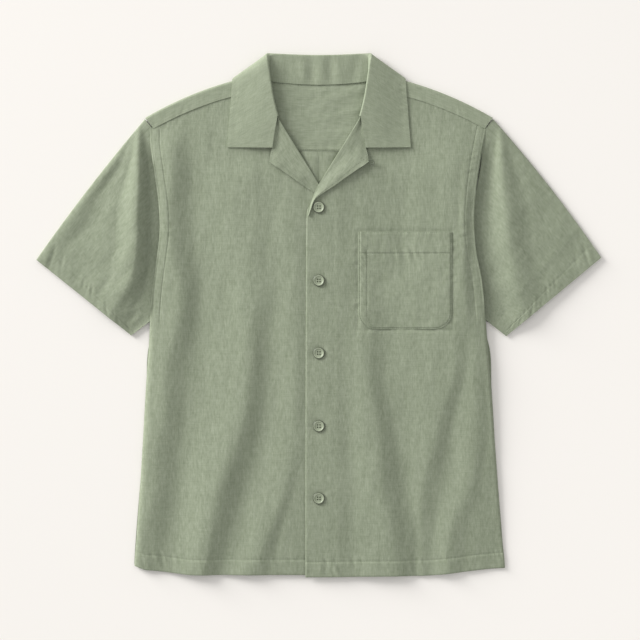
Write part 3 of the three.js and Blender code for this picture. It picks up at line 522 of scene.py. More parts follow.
# The long folds of each front, from the wearer's right to left. A row for each line, along a crest or in
# a trough, holds points down it: X, Y and the height over the body's level.
FRONT_FOLDS = {
    "right": [
        [(-240, 262, 1.2), (-231, 204, 0.8), (-227, 148, 1.2), (-229, 92, 1.0), (-236, 36, 0.6),
         (-240, -20, 0.4), (-243, -76, 0.2), (-246, -132, 0.2), (-249, -188, 0.4), (-252, -244, 0.6),
         (-256, -372, 0.2)],
        [(-224, 262, 1.9), (-206, 204, 3.2), (-212, 148, 3.3), (-207, 92, 3.5), (-196, 36, 3.4),
         (-204, -20, 3.2), (-216, -76, 2.8), (-219, -132, 2.4), (-228, -188, 2.0), (-232, -244, 1.6),
         (-246, -300, 0.6), (-254, -372, 0.4)],
        [(-176, 262, -0.8), (-174, 204, -2.2), (-176, 148, -2.8), (-170, 92, -3.2), (-162, 36, -3.5),
         (-168, -20, -3.5), (-177, -76, -3.3), (-184, -132, -3.3), (-194, -188, -3.4), (-198, -244, -3.4),
         (-206, -300, -3.2), (-220, -372, -2.5)],
        [(-96, 262, 0.8), (-92, 204, 2.0), (-96, 148, 1.6), (-96, 92, 2.2), (-92, 36, 2.6), (-98, -20, 3.5),
         (-99, -76, 4.0), (-106, -132, 4.5), (-122, -188, 5.0), (-141, -244, 5.5), (-153, -300, 5.0),
         (-166, -372, 4.2)],
        [(-72, 262, 0.5), (-76, 148, 1.4), (-74, 92, 1.2), (-60, 36, 0.8), (-66, -20, -0.8),
         (-69, -76, -1.6), (-75, -132, -2.2), (-86, -188, -3.0), (-102, -244, -3.5), (-120, -300, -3.0),
         (-140, -372, -2.2)],
        [(-36, 262, 0.4), (-36, 148, 1.6), (-34, 92, 2.0), (-34, 36, 2.2), (-33, -20, 2.0),
         (-33, -132, 2.0), (-38, -188, 1.8), (-52, -244, 1.6), (-70, -300, 2.6), (-100, -372, 2.3)],
        [(-16, 262, 0.0), (-16, 148, 1.0), (-16, 92, 1.2), (-16, -20, 1.1), (-16, -132, 0.9),
         (-18, -188, 0.5), (-32, -244, -0.6), (-51, -300, -1.2), (-68, -372, -1.5)],
    ],
    "left": [
        [(30, 262, 0.0), (28, 148, 0.4), (28, -20, 0.2), (30, -132, -0.2), (34, -188, -0.8),
         (42, -372, -1.0)],
        [(58, 262, 0.2), (60, 148, 1.0), (60, 36, 1.2), (62, -20, 2.2), (64, -76, 3.2), (74, -132, 3.5),
         (81, -188, 3.8), (86, -244, 3.8), (98, -300, 3.6), (104, -372, 3.4)],
        [(96, 262, -0.5), (94, 148, -0.7), (92, 36, -0.8), (94, -20, -1.2), (94, -76, -2.2),
         (104, -132, -2.6), (114, -188, -3.0), (121, -244, -3.6), (136, -300, -3.2), (140, -372, -2.8)],
        [(200, 262, 1.2), (196, 204, 3.2), (194, 148, 3.8), (190, 92, 3.9), (188, 36, 3.7), (186, -20, 3.2),
         (187, -76, 3.2), (171, -132, 2.8), (158, -188, 2.2), (146, -244, 0.0), (144, -300, -2.2),
         (146, -372, -2.2)],
        [(208, 262, 1.2), (202, 148, 4.8), (202, 92, 5.0), (203, 36, 4.7), (206, -20, 2.2), (206, -76, 1.2),
         (193, -132, -0.6), (184, -188, -1.8), (174, -244, -2.8), (160, -300, -3.0), (154, -372, -3.0)],
        [(220, 262, 1.2), (217, 204, 2.2), (214, 148, 1.6), (214, 92, 1.4), (217, 36, 1.4), (218, -20, 2.0),
         (217, -76, 2.0), (219, -132, 2.0), (217, -188, 1.4), (206, -244, 0.6), (185, -300, 0.6),
         (180, -372, 0.8)],
        [(236, 262, 1.0), (234, 92, 0.6), (236, 36, 0.8), (238, -20, 0.8), (238, -76, 0.2),
         (240, -132, -0.8), (238, -188, -1.6), (230, -244, -1.8), (212, -300, -2.2), (206, -372, -1.8)],
        [(250, 262, 0.8), (252, -20, -0.8), (254, -132, -2.0), (256, -188, -2.8), (256, -244, -3.0),
         (258, -300, -3.0), (262, -372, -2.8)],
    ],
}
BODY_HEIGHT, SEAM_HEIGHT = 6.8, 5.0
BUTTON_YS = [151.2, 48.9, -52.5, -154.6, -255.6]
POCKET = dict(left=55.3, right=185.4, top=117.0, bottom=-19.2, corner=23.0)


def lie(x, y, folds):
    """The height of cloth that lies in long folds, between the lines of their crests and troughs."""
    tables = [np.array(fold, float)[::-1] for fold in folds]
    lines = [hermite(table[:, 1], table[:, [0, 2]], y) for table in tables]
    height = lines[0][..., 1].copy()
    for near, far in zip(lines, lines[1:]):
        height += (far[..., 1] - near[..., 1]) * smooth(near[..., 0], far[..., 0], x)
    return height


def quarter_round(distance, radius):
    """From 0 at an edge to 1 at a radius in from it, round as a rolled edge is."""
    t = 1 - np.clip(distance / radius, 0, 1)
    return np.sqrt(1 - t * t)


def hem_y(x, side):
    """The lower edge of a front."""
    out = np.abs(x)
    if side == "left":
        return np.where(x < 130, -366.2 + 1.6 * smooth(0, 130, x), -364.6 + 11.2 * smooth(135, 268, x))
    return -363.2 + 7 * smooth(170, 250, out) + 6 * smooth(240, 262, out)


def front_height(x, y, side):
    """The outer face of a front over the surface, without the roll at its side."""
    x, y = np.asarray(x, float), np.asarray(y, float)
    flat = 1 - smooth(22, 52, np.abs(x))
    seam = shoulder_y(x) - 21 - y
    settled = smooth(2, 46, seam)
    pressed = smooth(190, 236, y) * (1 - smooth(140, 185, np.abs(x)))
    height = BODY_HEIGHT - SEAM_HEIGHT - 1.5 * pressed + lie(x, y, FRONT_FOLDS[side]) * (1 - 0.6 * pressed)
    height = SEAM_HEIGHT + settled * height - 0.4 * smooth(4, 0.5, seam)
    relief = 0.6 * crumple(x, y, 95, 31, 2.2) + 0.36 * crumple(x, y, 36, 32, 2.6)
    relief = relief + 0.12 * crumple(x, y, 16, 33, 3.2)
    height = height + relief * (1 - 0.45 * flat) * (0.3 + 0.7 * settled)
    height = height + pucker(x, seam - 2, 0.4, 8, 39) * smooth(0, 3, seam)
    hem = y - hem_y(x, side) - HEM_DEPTH
    height = height - 1.5 * smooth(75, -21, hem)
    height = height + pucker(x, hem, 0.5, 9, 34) + pucker(x, hem + 12, 0.42, 9, 35, 9, 26)
    height = height - 0.5 * bell(hem, 1.3) + 0.3 * smooth(1, -2, hem)
    edge = read(FRONT_SIDE[side], y) - np.abs(x)
    upper = smooth(-20, 6, y)
    height = height + upper * (pucker(y, edge - 12, 0.34, 8, 36) + 0.25 * smooth(15, 12, edge))
    height = height - upper * 0.5 * (bell(edge - 13, 0.9) + 0.6 * bell(edge - 2.6, 1.0))
    if side == "left":
        notch = smooth(100, 142, y) * (1 - smooth(192, 240, y)) * (1 - smooth(14, 62, np.abs(x)))
        height = height + 1.8 * flat * (1 - smooth(200, 240, y)) + 1.2 * notch
        stitched = smooth(180, 150, y)
        height = height + stitched * (pucker(y, x - 21, 0.2, 6, 37) - 0.22 * bell(x - 21, 1.2))
        for centre in BUTTON_YS:
            height = height - 0.4 * bell(x, 15) * bell(y - centre, 11)
            height = height - 1.1 * bell(x, 9) * bell(y - centre, 9)
            for sway, tilt in ((-1, 0.5), (1, -0.3), (1, 0.6)):
                pull = [(sway * 8, centre + tilt * 5), (sway * 30, centre + tilt * 18)]
                height = height + ridge(x, y, pull, 0.35, 3.2, 3.2, 0.1, 0.8)
        around = np.maximum(np.maximum(POCKET["left"] - x, x - POCKET["right"]), POCKET["bottom"] - y)
        below = smooth(125, 100, y) * bell(around - 3, 6)
        height = height + 0.3 * below * crumple(x, y, 13, 38)
        near = np.maximum(around, y - POCKET["top"])
        height = height - 0.7 * bell(near - 1.2, 2.2)
    else:
        height = height - 0.6 * smooth(25, 14, -x) * smooth(240, 215, y)
    return np.maximum(height, 2.0)


def front_surface(x, y, side):
    """The outer face of a front, rolled down at the side seam and at the armhole."""
    inside = read(FRONT_SIDE[side], y) - np.abs(x)
    armhole = 8.0 - 3.4 * smooth(195, 258, y)
    edge = 1.5 + (armhole - 1.5) * smooth(-35, 20, y)
    roll = 3.2 if side == "left" else 5 + 4 * smooth(10, -60, y)
    height = edge + (front_height(x, y, side) - edge) * quarter_round(inside, roll)
    if side == "left":
        lap = x - read(FRONT_EDGE, y)
        height = height - 0.7 * (1 - quarter_round(lap, 1.6)) * smooth(160, 140, y)
    fold = y - hem_y(x, side)
    return height - 0.6 * (1 - quarter_round(fold, 1.8))


def front_panel(side):
    """The grid of a front, with rows from the shoulder seam to the hem and columns from the side inwards."""
    sign = 1 if side == "left" else -1
    t = np.concatenate([np.linspace(0, 0.955, 268), np.linspace(0.955, 1, 26)[1:]])[:, None]
    near = [0, 0.6, 1.3, 2.0, 2.6, 3.3, 4.7, 6.4, 8.4, 10.2, 11.6, 12.2, 12.7, 13.2, 13.7, 14.3, 15.4]
    near = np.array(near)[None, :]
    far = np.concatenate([np.linspace(0, 1, 110)[1:-1], [0.9935, 0.9965, 0.998, 0.9992, 1]])[None, :]
    corner = -352.0 if side == "left" else -349.5
    middle = -366.2 if side == "left" else -363.2
    side_y = 262 + (corner - 262) * t
    inner_y = side_y + 50.5 * (1 - smooth(0, 0.36, t)) + (middle - corner) * smooth(0.7, 1, t)
    side_x, inner_x = read(FRONT_SIDE[side], side_y), read(FRONT_EDGE, inner_y)
    width = side_x - inner_x
    share = np.concatenate([near / width, near[0, -1] / width * (1 - far) + far], axis=1)
    x = side_x - share * width
    y = side_y + (inner_y - side_y) * share
    straight = hem_y(sign * x, side)
    y = y + (straight - (corner + (middle - corner) * share)) * smooth(0.86, 1, t)
    top = shoulder_y(x[0]) - 19.5
    y[0] = top
    y[1:8] = y[1:8] + (np.minimum(top, y[1:8]) - y[1:8]) * np.linspace(0.9, 0, 7)[:, None]
    y[1:8] = np.minimum(y[1:8], top - np.linspace(2, 14, 7)[:, None])
    return np.stack([sign * x, y, front_surface(sign * x, y, side)], axis=-1)


for side in ("right", "left"):
    points = front_panel(side)
    piece = make_cloth(f"front_{side}_panel", points, points[..., :2], turned=side == "right")
    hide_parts(f"front_{side}")


def on_front(path, side, step=2.0):
    """Points about step apart on a front, along a line through the given ones."""
    line = through(path, step)
    return np.stack([line[:, 0], line[:, 1], front_surface(line[:, 0], line[:, 1], side)], axis=1)


for side, sign in (("right", -1), ("left", 1)):
    hem = np.linspace(-17 if side == "left" else 19, 252, 140) * sign
    hem = [(x, float(hem_y(x, side)) + HEM_DEPTH) for x in hem]
    ys = np.linspace(254, -4, 70)
    seams = [on_front(hem, side)]
    for inset in (2.6, 13):
        seams.append(on_front([(sign * (read(FRONT_SIDE[side], y) - inset), y) for y in ys], side))
    if side == "left":
        seams.append(on_front([(21, y) for y in np.linspace(160, -364, 90)], side))
        seams.append(on_front([(-14.6, y) for y in np.linspace(126, -364, 90)], side))
    sew(f"front_{side}_stitching", seams)


# The sleeves: a straight short sleeve each, sewn into the armhole under the stitched edge of the body,
# closed by an underarm seam and folded flat along its top. The hem is turned up 22 mm and stitched.
SLEEVES = {
    "left": dict(
        hem_top=(394.9, 80.8), hem_under=(262.6, -28.7), bow=4.0,
        lines=[
            [(242, 262, 4.6), (228, 212, 3.0), (213, 122, 2.0), (216, 40, 2.0), (222, 10, 2.0),
             (240, -40, 2.0)],
            [(246, 262, 4.6), (237, 230, 2.4), (228, 190, 1.4), (220, 134, 1.3), (221, 92, 1.3),
             (226, 50, 1.3), (234, 10, 1.4), (246, -40, 2.0)],
            [(250, 262, 4.8), (244, 230, 2.8), (237, 190, 1.5), (234, 134, 1.3), (236, 92, 1.3),
             (243, 50, 1.3), (250, 10, 1.4), (258, -40, 2.0)],
            [(254, 262, 5.4), (256, 218, 7.9), (260, 176, 9.8), (265, 134, 11.0), (269, 92, 11.4),
             (278, 50, 10.2), (288, 10, 8.0), (302, -40, 6.4)],
            [(262, 262, 4.8), (272, 218, 4.9), (288, 176, 5.2), (296, 134, 5.4), (302, 92, 5.6),
             (314, 50, 5.6), (326, 10, 5.2), (336, -40, 4.6)],
            [(300, 262, 4.0), (334, 176, 3.4), (384, 100, 3.0), (404, 60, 3.0), (404, -40, 3.0)],
        ],
        wrinkles=[
            ([(238, 60), (258, 40), (290, 22)], 0.8, 6, 8),
            ([(240, 30), (256, 8), (276, -6)], -0.8, 5, 6),
        ]),
    "right": dict(
        hem_top=(395.6, 77.7), hem_under=(263.5, -27.6), bow=3.0,
        lines=[
            [(-270, 262, 5.2), (-286, 218, 5.6), (-318, 176, 5.4), (-348, 134, 5.2), (-378, 92, 4.4),
             (-404, 50, 3.8), (-404, -40, 3.6)],
            [(-260, 262, 5.0), (-276, 218, 4.2), (-302, 176, 3.4), (-324, 134, 3.2), (-350, 92, 3.4),
             (-362, 60, 3.6), (-350, 20, 3.6), (-330, -40, 3.4)],
            [(-257, 262, 5.1), (-266, 218, 5.6), (-278, 176, 5.6), (-286, 134, 5.8), (-290, 92, 6.0),
             (-300, 50, 5.6), (-318, 20, 5.0), (-322, -40, 4.6)],
            [(-252, 262, 5.6), (-253, 218, 10.2), (-253, 176, 13.0), (-255, 134, 14.2), (-256, 92, 13.8),
             (-266, 50, 11.4), (-282, 20, 9.2), (-306, -40, 6.4)],
            [(-247, 262, 4.8), (-239, 218, 2.0), (-238, 176, 1.3), (-237, 134, 1.3), (-238, 92, 1.3),
             (-242, 50, 1.3), (-250, 20, 2.0), (-270, -40, 2.2)],
            [(-244, 262, 4.6), (-232, 218, 1.8), (-227, 176, 1.3), (-223, 134, 1.3), (-224, 92, 1.3),
             (-228, 50, 1.3), (-236, 20, 1.8), (-248, -40, 2.0)],
            [(-242, 262, 4.6), (-228, 212, 3.0), (-217, 122, 2.0), (-218, 40, 2.0), (-224, 10, 2.0),
             (-240, -40, 2.0)],
        ],
        wrinkles=[
            ([(-237, 78), (-256, 50), (-274, 20)], 1.3, 6, 5),
            ([(-242, 46), (-258, 26), (-274, 2)], 1.1, 5, 5),
            ([(-250, 84), (-272, 58), (-288, 36)], -0.9, 6, 6),
            ([(-244, 20), (-262, 6), (-284, 0)], 0.9, 5, 5),
            ([(-246, 6), (-258, -8), (-268, -18)], 0.8, 4, 4),
        ]),
}
UNDERARM = (218.4, 6.0)
SLEEVE_LENGTH, SLEEVE_HEM, EDGE_HEIGHT = 249, 22, 3.2


def sleeve_plan(along, across, shape):
    """Where a sleeve lies, from the armhole (0) to the hem (1) and the top fold (0) to the underarm (1)."""
    def armhole(share):
        corner = np.clip(share / 0.06, 0, 1)
        y = 262 + (UNDERARM[1] - 262) * np.clip((share - 0.06) / 0.94, 0, 1)
        x = np.where(share < 0.06, 243.5 - 10 * corner, read(SIDE_SEAM, y))
        return np.stack([x, np.where(share < 0.06, 274.5 - 12.5 * corner, y)], axis=-1)

    along, across = along[..., None], across[..., None]
    top, under = np.array(shape["hem_top"]), np.array(shape["hem_under"])
    head = armhole(across[..., 0])
    start, end = armhole(np.zeros(1))[0], np.array(UNDERARM)
    fold = start + (top - start) * along
    corners = fold + (end + (under - end) * along - fold) * across
    ruled = head + (top + (under - top) * across - head) * along
    bowed = fold + np.array([0.79, 0.61]) * shape["bow"] * 4 * along * (1 - along)
    edges = bowed + (end + (under - end) * along - bowed) * across
    return ruled + edges - corners


def sleeve_grid(side):
    """The grid of a sleeve, with rows from the armhole to the hem and columns round it from its top fold."""
    shape = SLEEVES[side]
    sign = 1 if side == "left" else -1
    along = np.concatenate([np.linspace(0, 0.88, 88), np.linspace(0.88, 1, 16)[1:]])
    near = np.array([0, 0.3, 0.9, 1.8, 3.0, 4.6, 6.6, 9.0])
    rows = []
    for a in along:
        start, end = sleeve_plan(np.array([a, a]), np.array([0.0, 1.0]), shape)
        length = math.hypot(*(start - end))
        over = np.concatenate([near, np.linspace(11, length - 11, 96), length - near[::-1]]) / length
        under = [length - near[1:5], np.linspace(length - 8, 8, 34), near[4:0:-1], [0]]
        under = np.concatenate(under) / length
        rows.append((over, under, length))
    points = []
    for a, (over, under, length) in zip(along, rows):
        across = np.concatenate([over, under])
        is_over = np.arange(len(across)) < len(over)
        plan = sleeve_plan(np.full(len(across), a), across, shape)
        x, y = sign * plan[:, 0], plan[:, 1]
        distance = np.minimum(across, 1 - across) * length
        folds = 0.4 * crumple(x, y, 60, 41) + 0.24 * crumple(x, y, 24, 42) + 0.1 * crumple(x, y, 11, 43)
        for path, rise, left, right in shape["wrinkles"]:
            folds += ridge(x, y, path, rise, left, right, 0.3, 0.35)
        hem = (1 - a) * SLEEVE_LENGTH - SLEEVE_HEM
        run = across * length
        folds += pucker(run, hem, 0.5, 9, 44) + pucker(run, hem + 12, 0.4, 9, 45, 9, 24)
        folds += 0.25 * smooth(1, -2, hem) - 0.3 * bell(hem, 1.3)
        beyond = np.abs(x) - read(FRONT_SIDE[side], y)
        height = lie(x, y, shape["lines"]) + folds * smooth(0, 16, beyond)
        height = EDGE_HEIGHT + (np.maximum(height, 1.3) - EDGE_HEIGHT) * quarter_round(distance, 10)
        bottom = EDGE_HEIGHT * (1 - quarter_round(distance, 2.4))
        points.append(np.stack([x, y, np.where(is_over, height, bottom)], axis=1))
    return np.array(points)


for side in ("right", "left"):
    points = sleeve_grid(side)
    flat = cut_map(laid_out(points, 1)[60], -np.linspace(0, SLEEVE_LENGTH, len(points))[:, None])
    piece = make_cloth(f"sleeve_{side}_panel", points, flat, turned=side == "right")
    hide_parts(f"sleeve_{side}")
    hem_row = 87 + (1 - SLEEVE_HEM / SLEEVE_LENGTH - 0.88) / 0.12 * 15
    sew(f"sleeve_{side}_stitching", [on_grid(points, np.full(120, hem_row), np.linspace(5, 106, 120))])


# The collar: two layers of shirting with a soft interlining, in one piece round the neck. It stands up
# behind the neck, rolls over and falls outside, and its turned-in edge is stitched. Laid flat, it folds
# at two corners. A row for each place from the centre back to the front end: how far the roll has turned
# from lying behind the neck (0) to lying on the front (180), its radius, its middle, the outer edge and
# the neck seam.
COLLAR = np.array([
    (0, 2.4, 0, 361.3, 3.8, 0, 306, 1.5, 0, 323.0, 4.0),
    (0, 2.4, 22, 361.7, 3.8, 26, 306.3, 1.5, 24, 323.8, 4.0),
    (0, 2.4, 43, 362.5, 3.8, 52, 307.4, 1.5, 47, 325.4, 3.9),
    (0, 2.4, 58, 363.2, 3.8, 76, 309.6, 1.4, 64, 327.4, 3.9),
    (25, 2.5, 65.5, 363.4, 4.0, 94, 314, 1.3, 76, 330.4, 4.2),
    (60, 2.6, 70.4, 363.1, 5.2, 108, 322.4, 1.3, 85, 332.5, 4.2),
    (75, 2.7, 71.9, 362.4, 6.3, 115.5, 329.4, 1.5, 89, 334.2, 4.3),
    (90, 2.8, 72.7, 361.3, 7.5, 119.3, 332, 3.2, 91, 335.4, 4.4),
    (110, 2.8, 73.2, 359, 9.1, 121.2, 329.2, 5.3, 91, 333.4, 4.6),
    (135, 2.8, 73.1, 354.8, 10.6, 121.9, 323, 6.3, 90.6, 328.5, 4.8),
    (160, 2.8, 72.8, 349, 11.4, 122.4, 315, 6.5, 89.6, 322.5, 4.8),
    (180, 2.8, 72.2, 341, 11.6, 122.9, 306, 6.4, 88.2, 315.5, 4.8),
    (180, 2.8, 69.8, 324, 11.6, 124.3, 290, 6.3, 84, 307.2, 4.7),
    (180, 2.7, 66.4, 304, 11.3, 125.7, 272, 6.3, 77, 297, 4.7),
    (180, 2.6, 62.3, 287, 10.9, 126.9, 256, 6.5, 68.6, 285.4, 4.7),
    (180, 2.4, 60.0, 278.2, 10.8, 127.4, 248, 6.7, 64.6, 280.3, 4.7),
    (180, 1.6, 61.2, 267, 10.7, 127.7, 243.5, 6.8, 62.2, 267, 9.6),
    (180, 0.9, 63.2, 252, 10.3, 127.9, 239.5, 6.9, 64.4, 252, 9.2),
    (180, 0.6, 65.3, 234.6, 9.8, 128.1, 235.2, 7.0, 67, 234.6, 8.6),
], float)
GORGE_ROW = 15


def limb(start, out, end, share):
    """Points on a curve of cloth from the collar's roll to an edge, which leaves the roll square to out."""
    handle, half = start - out * (4, 4, 0), (start + end) / 2
    near, far = 1 - share[:, None], share[:, None]
    return start * near**3 + 3 * handle * far * near**2 + 3 * half * far**2 * near + end * far**3


def collar_section(row):
    """A section of the collar from the neck seam over the roll to the outer edge."""
    turn, r, *places = row
    a = math.radians(turn)
    out = np.array([-0.5 + 0.5 * math.cos(a), 0.5 + 0.5 * math.cos(a), math.sqrt(0.5) * math.sin(a)])
    fall = np.array([math.sqrt(0.5) * math.sin(a), math.sqrt(0.5) * math.sin(a), -math.cos(a)])
    middle, edge, seam = np.array(places).reshape(3, 3)
    angles = np.radians(np.linspace(-90, 90, 13))[:, None]
    middle = middle + out * 0.72 * r
    roll = middle + out * 0.28 * r * np.cos(angles) + fall * r * np.sin(angles)
    stand = limb(middle - fall * r, out, seam, np.linspace(1, 0, 17)[:-1])
    leaf = limb(middle + fall * r, out, edge, np.linspace(0, 1, 33)[1:])
    return np.concatenate([stand, roll, leaf])


marks = np.arange(len(COLLAR), dtype=float)
counts = [14, 14, 10, 7, 6, 5, 5, 5, 5, 6, 7, 10, 11, 10, 6, 6, 7, 9]
at = [k + np.linspace(0, 1, n, endpoint=False) for k, n in enumerate(counts)]
at = np.concatenate(at + [[len(counts)]])
gorge = sum(counts[:GORGE_ROW])
half = np.array([collar_section(row) for row in hermite(marks, COLLAR, at)])
collar_points = np.concatenate([half[:0:-1] * (-1, 1, 1), half])
stand_columns, roll_columns = 16, 13
x, y, z = np.moveaxis(collar_points, -1, 0)
column = np.arange(collar_points.shape[1])[None, :] + 0 * x
behind = smooth(66, 52, abs(x)) * smooth(318, 330, y)
stand = smooth(19, 15, column)
ripples = 0.55 * np.sin(x / 5.2 + 1.0 + 0.6 * np.sin(x / 17)) + 0.5 * crumple(x, y, 20, 51, 3.0)
free = 0.35 + 0.65 * np.sin(np.clip((y - 322) / 40, 0, 1) * math.pi)
collar_points[..., 2] += behind * stand * ripples * free
leaf = smooth(24, 32, column) * smooth(66, 74, abs(x)) * smooth(5.4, 6.6, z + 0 * x)
rumpled = np.where(x > 0, 0.6, 0.28)
collar_points[..., 2] += leaf * (rumpled * crumple(x, y, 44, 52) + 0.08 * crumple(x, y, 15, 53))
from_edge = (60 - column) * 1.7
collar_points[..., 2] += leaf * (pucker(y, from_edge - 4, 0.22, 4, 54) - 0.22 * bell(from_edge - 5, 1.2))
collar_points[..., 0] += 0.35 * crumple(y, x, 60, 55) * smooth(50, 60, column)
there = np.ones((collar_points.shape[0] - 1, collar_points.shape[1] - 1), bool)
rows = np.arange(there.shape[0])
past = (rows < half.shape[0] - 1 - gorge) | (rows >= half.shape[0] - 1 + gorge)
there[past, : stand_columns + roll_columns - 1] = False
collar_flat = cut_map(laid_out(collar_points, 0)[:, 12:13], laid_out(collar_points, 1))
collar = make_cloth("collar_band", collar_points, collar_flat, 1.1, turned=True, there=there,
                    finish=collar_shirting_painted_light)
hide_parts("collar")
last = collar_points.shape[0] - 1
edges = [on_grid(collar_points, np.linspace(4, last - 4, 420), 57.0)]
for end in (3.2, last - 3.2):
    edges.append(on_grid(collar_points, np.full(60, end), np.linspace(33, 57, 60)))
sew("collar_stitching", edges)


# The lapels: the tops of the fronts, faced with shirting and turned back along the fold line, where the
# camp collar lies open. The upper edge is sewn to the collar at the gorge, and the other edges are free
# and stitched. A row for each place down the fold line: a point of it, the outer edge across from it, the
# radius and height.
LAPEL = np.array([
    (57.4, 277.6, 58.6, 274.5, 2.6, 9.95),
    (56.2, 275.2, 60.4, 267.5, 2.5, 9.8),
    (50.3, 265.5, 62.6, 252, 2.4, 9.4),
    (43.5, 254.5, 64.8, 237, 2.3, 9.1),
    (36.3, 242.8, 70.0, 215.2, 2.2, 8.9),
    (26, 226.2, 54.2, 204.4, 2.0, 8.8),
    (15, 208.3, 38.5, 193.4, 1.8, 8.8),
    (5, 192, 21.5, 181.2, 1.6, 8.9),
    (-3.4, 177.5, 7.6, 172.2, 1.5, 9.0),
    (-9.2, 163.5, -5.2, 162.2, 1.5, 9.0),
    (-13.8, 150.6, -10.4, 150.0, 1.4, 8.6),
    (-16.6, 139.5, -14.2, 139.4, 1.2, 8.0),
], float)


def lapel_grid(side):
    """The grid of a lapel, with rows down the fold line and columns out from under the fold to the edge."""
    rows = LAPEL if side == "left" else LAPEL[:-2]
    marks = np.arange(len(rows), dtype=float)
    at = np.linspace(0, len(rows) - 1, 12 * (len(rows) - 1) + 1)
    smoothed = hermite(marks, rows, at)
    straight = np.stack([np.interp(at, marks, column) for column in rows.T], axis=1)
    tip = np.exp(-((at - 4) ** 2) * 1.5)[:, None]
    rows = smoothed * (1 - tip) + straight * tip
    rx, ry, ex, ey, r, level = (column[:, None] for column in rows.T)
    width = np.hypot(ex - rx, ey - ry)
    drop = 0 if side == "left" else 1.6 * smooth(205, 180, ry)
    centre = level - drop
    angles = np.radians(np.linspace(-90, 90, 11))[None, :]
    share = np.linspace(0, 1, 27)[None, 1:]
    bend = 0.28 * r
    distance = [bend + 3, bend + 1.5, bend - bend * np.cos(angles), bend + (width - bend) * share]
    distance = np.concatenate(distance, axis=1)
    x = rx + (ex - rx) / width * distance
    y = ry + (ey - ry) / width * distance
    sign, clear, point_lift = (1, 3.4, 3.8) if side == "left" else (-1, 2.7, 2.2)
    rest = front_height(sign * x[:, 13:], y[:, 13:], side) + clear + 0.25 * (1 - share) * r
    rest = rest + point_lift * bell(at[:, None] - 4.4, 1.7) * share
    leaf = (centre + r) * (1 - smooth(0, 0.8, share)) + rest * smooth(0, 0.8, share)
    leaf = leaf + smooth(232, 256, ry) * (9.3 + 1.4 * smooth(240, 274, ry) - leaf) * smooth(0.3, 1, share)
    z = np.concatenate([centre - r, centre - r, centre + r * np.sin(angles), leaf], axis=1)
    points = np.stack([x, y, z], axis=-1)
    seed = 61 if side == "left" else 62
    leaf = smooth(12, 22, np.arange(points.shape[1]))[None, :]
    points[..., 2] += leaf * (0.35 * crumple(x, y, 26, seed) + 0.12 * crumple(x, y, 11, seed + 4))
    return points * (sign, 1, 1)


for side in ("right", "left"):
    points = lapel_grid(side)
    flat = cut_map(laid_out(points, 1), points[:, :1, 1])
    piece = make_cloth(f"lapel_{side}_facing", points, flat, 0.9, turned=side == "right")
    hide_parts(f"lapel_{side}")
    last = points.shape[0] - 1
    edge = on_grid(points, np.linspace(49, last - 4, 140), 38 - 4.5)
    lead = on_grid(points, np.linspace(38, 49, 40), 38 - 2.5)
    sew(f"lapel_{side}_stitching", [edge, lead])


# The chest pocket: a patch of shirting on the left front, with a 30 mm hem across its top, its edges
# turned under, round lower corners, and a second row of stitches down one side, all drawn into small
# gathers.
POCKET_HEM, SECOND_ROW = 30, 12


def pocket_grid():
    """The grid of the pocket, with rows from its top down, finer beside its edges and rows of stitches."""
    left, right, top, bottom, corner = POCKET.values()
    wide, deep = right - left, top - bottom
    fine = np.array([0, 0.4, 0.8, 1.3, 1.7, 2.1, 2.5, 3.0, 3.6])
    beside_row = fine[1:6] - 1.3
    across = [fine, np.linspace(4.6, 11, 6), SECOND_ROW + beside_row, np.linspace(14, wide - 5, 62)]
    across = np.concatenate(across + [wide - fine[::-1]])
    down = [fine, np.linspace(5, 28.4, 15), POCKET_HEM + beside_row, np.linspace(32, deep - 4, 64)]
    down = np.concatenate(down + [deep - fine[::-1]])
    points = np.zeros((len(down), len(across), 3))
    for i, drop in enumerate(down):
        y = top - drop
        inset = corner * (1 - math.sqrt(max(0.0, 1 - (max(0.0, corner - (y - bottom)) / corner) ** 2)))
        points[i, :, 0] = left + inset + (wide - 2 * inset) * across / wide
        points[i, :, 1] = y
    x, y = points[..., 0], points[..., 1]
    edge = np.minimum(np.minimum(x - left, right - x), y - bottom)
    round_off = np.minimum(edge, corner - np.hypot(np.maximum(left + corner - x, x - right + corner).clip(0),
                                                   (bottom + corner - y).clip(0)))
    edge = np.where((y < bottom + corner) & ((x < left + corner) | (x > right - corner)), round_off, edge)
    hem = y - top + POCKET_HEM
    second = x - left - SECOND_ROW
    relief = 0.5 * crumple(x, y, 38, 71, 1.6) + 0.12 * crumple(x, y, 13, 72)
    relief += pucker(x, hem, 0.55, 9, 73) + pucker(y, second, 0.34, 7, 74)
    relief += pucker(x + y, edge - 2, 0.3, 6, 75)
    relief += pucker(x, top - y - 3, 0.25, 8, 77)
    relief -= 0.35 * (bell(hem, 0.7) + bell(second, 0.7) * smooth(8, 0, hem))
    relief -= 0.6 * bell(edge - 1.7, 0.6)
    relief += 0.35 * smooth(-1, 2, hem)
    rise = 1.6 + 0.45 * smooth(0, 22, edge) + 0.4 * smooth(16, 2, top - y) * smooth(0, 26, edge)
    rise = rise - 0.5 * (1 - quarter_round(edge.clip(0), 1.6))
    points[..., 2] = front_surface(x, y, "left") + rise + relief
    return points


pocket_points = pocket_grid()
pocket = make_cloth("chest_pocket", pocket_points, pocket_points[..., :2] + (13, 7), 0.9)
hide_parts("pocket")
across = (pocket_points[0, :, 0] - POCKET["left"]) / (POCKET["right"] - POCKET["left"])
down = POCKET["top"] - pocket_points[:, 0, 1]


def on_pocket(x, y):
    """Points on the pocket at distances in from its left side and down from its top."""
    columns = np.interp(np.asarray(x) / (POCKET["right"] - POCKET["left"]), across, np.arange(len(across)))
    return on_grid(pocket_points, np.interp(y, down, np.arange(len(down))), columns)


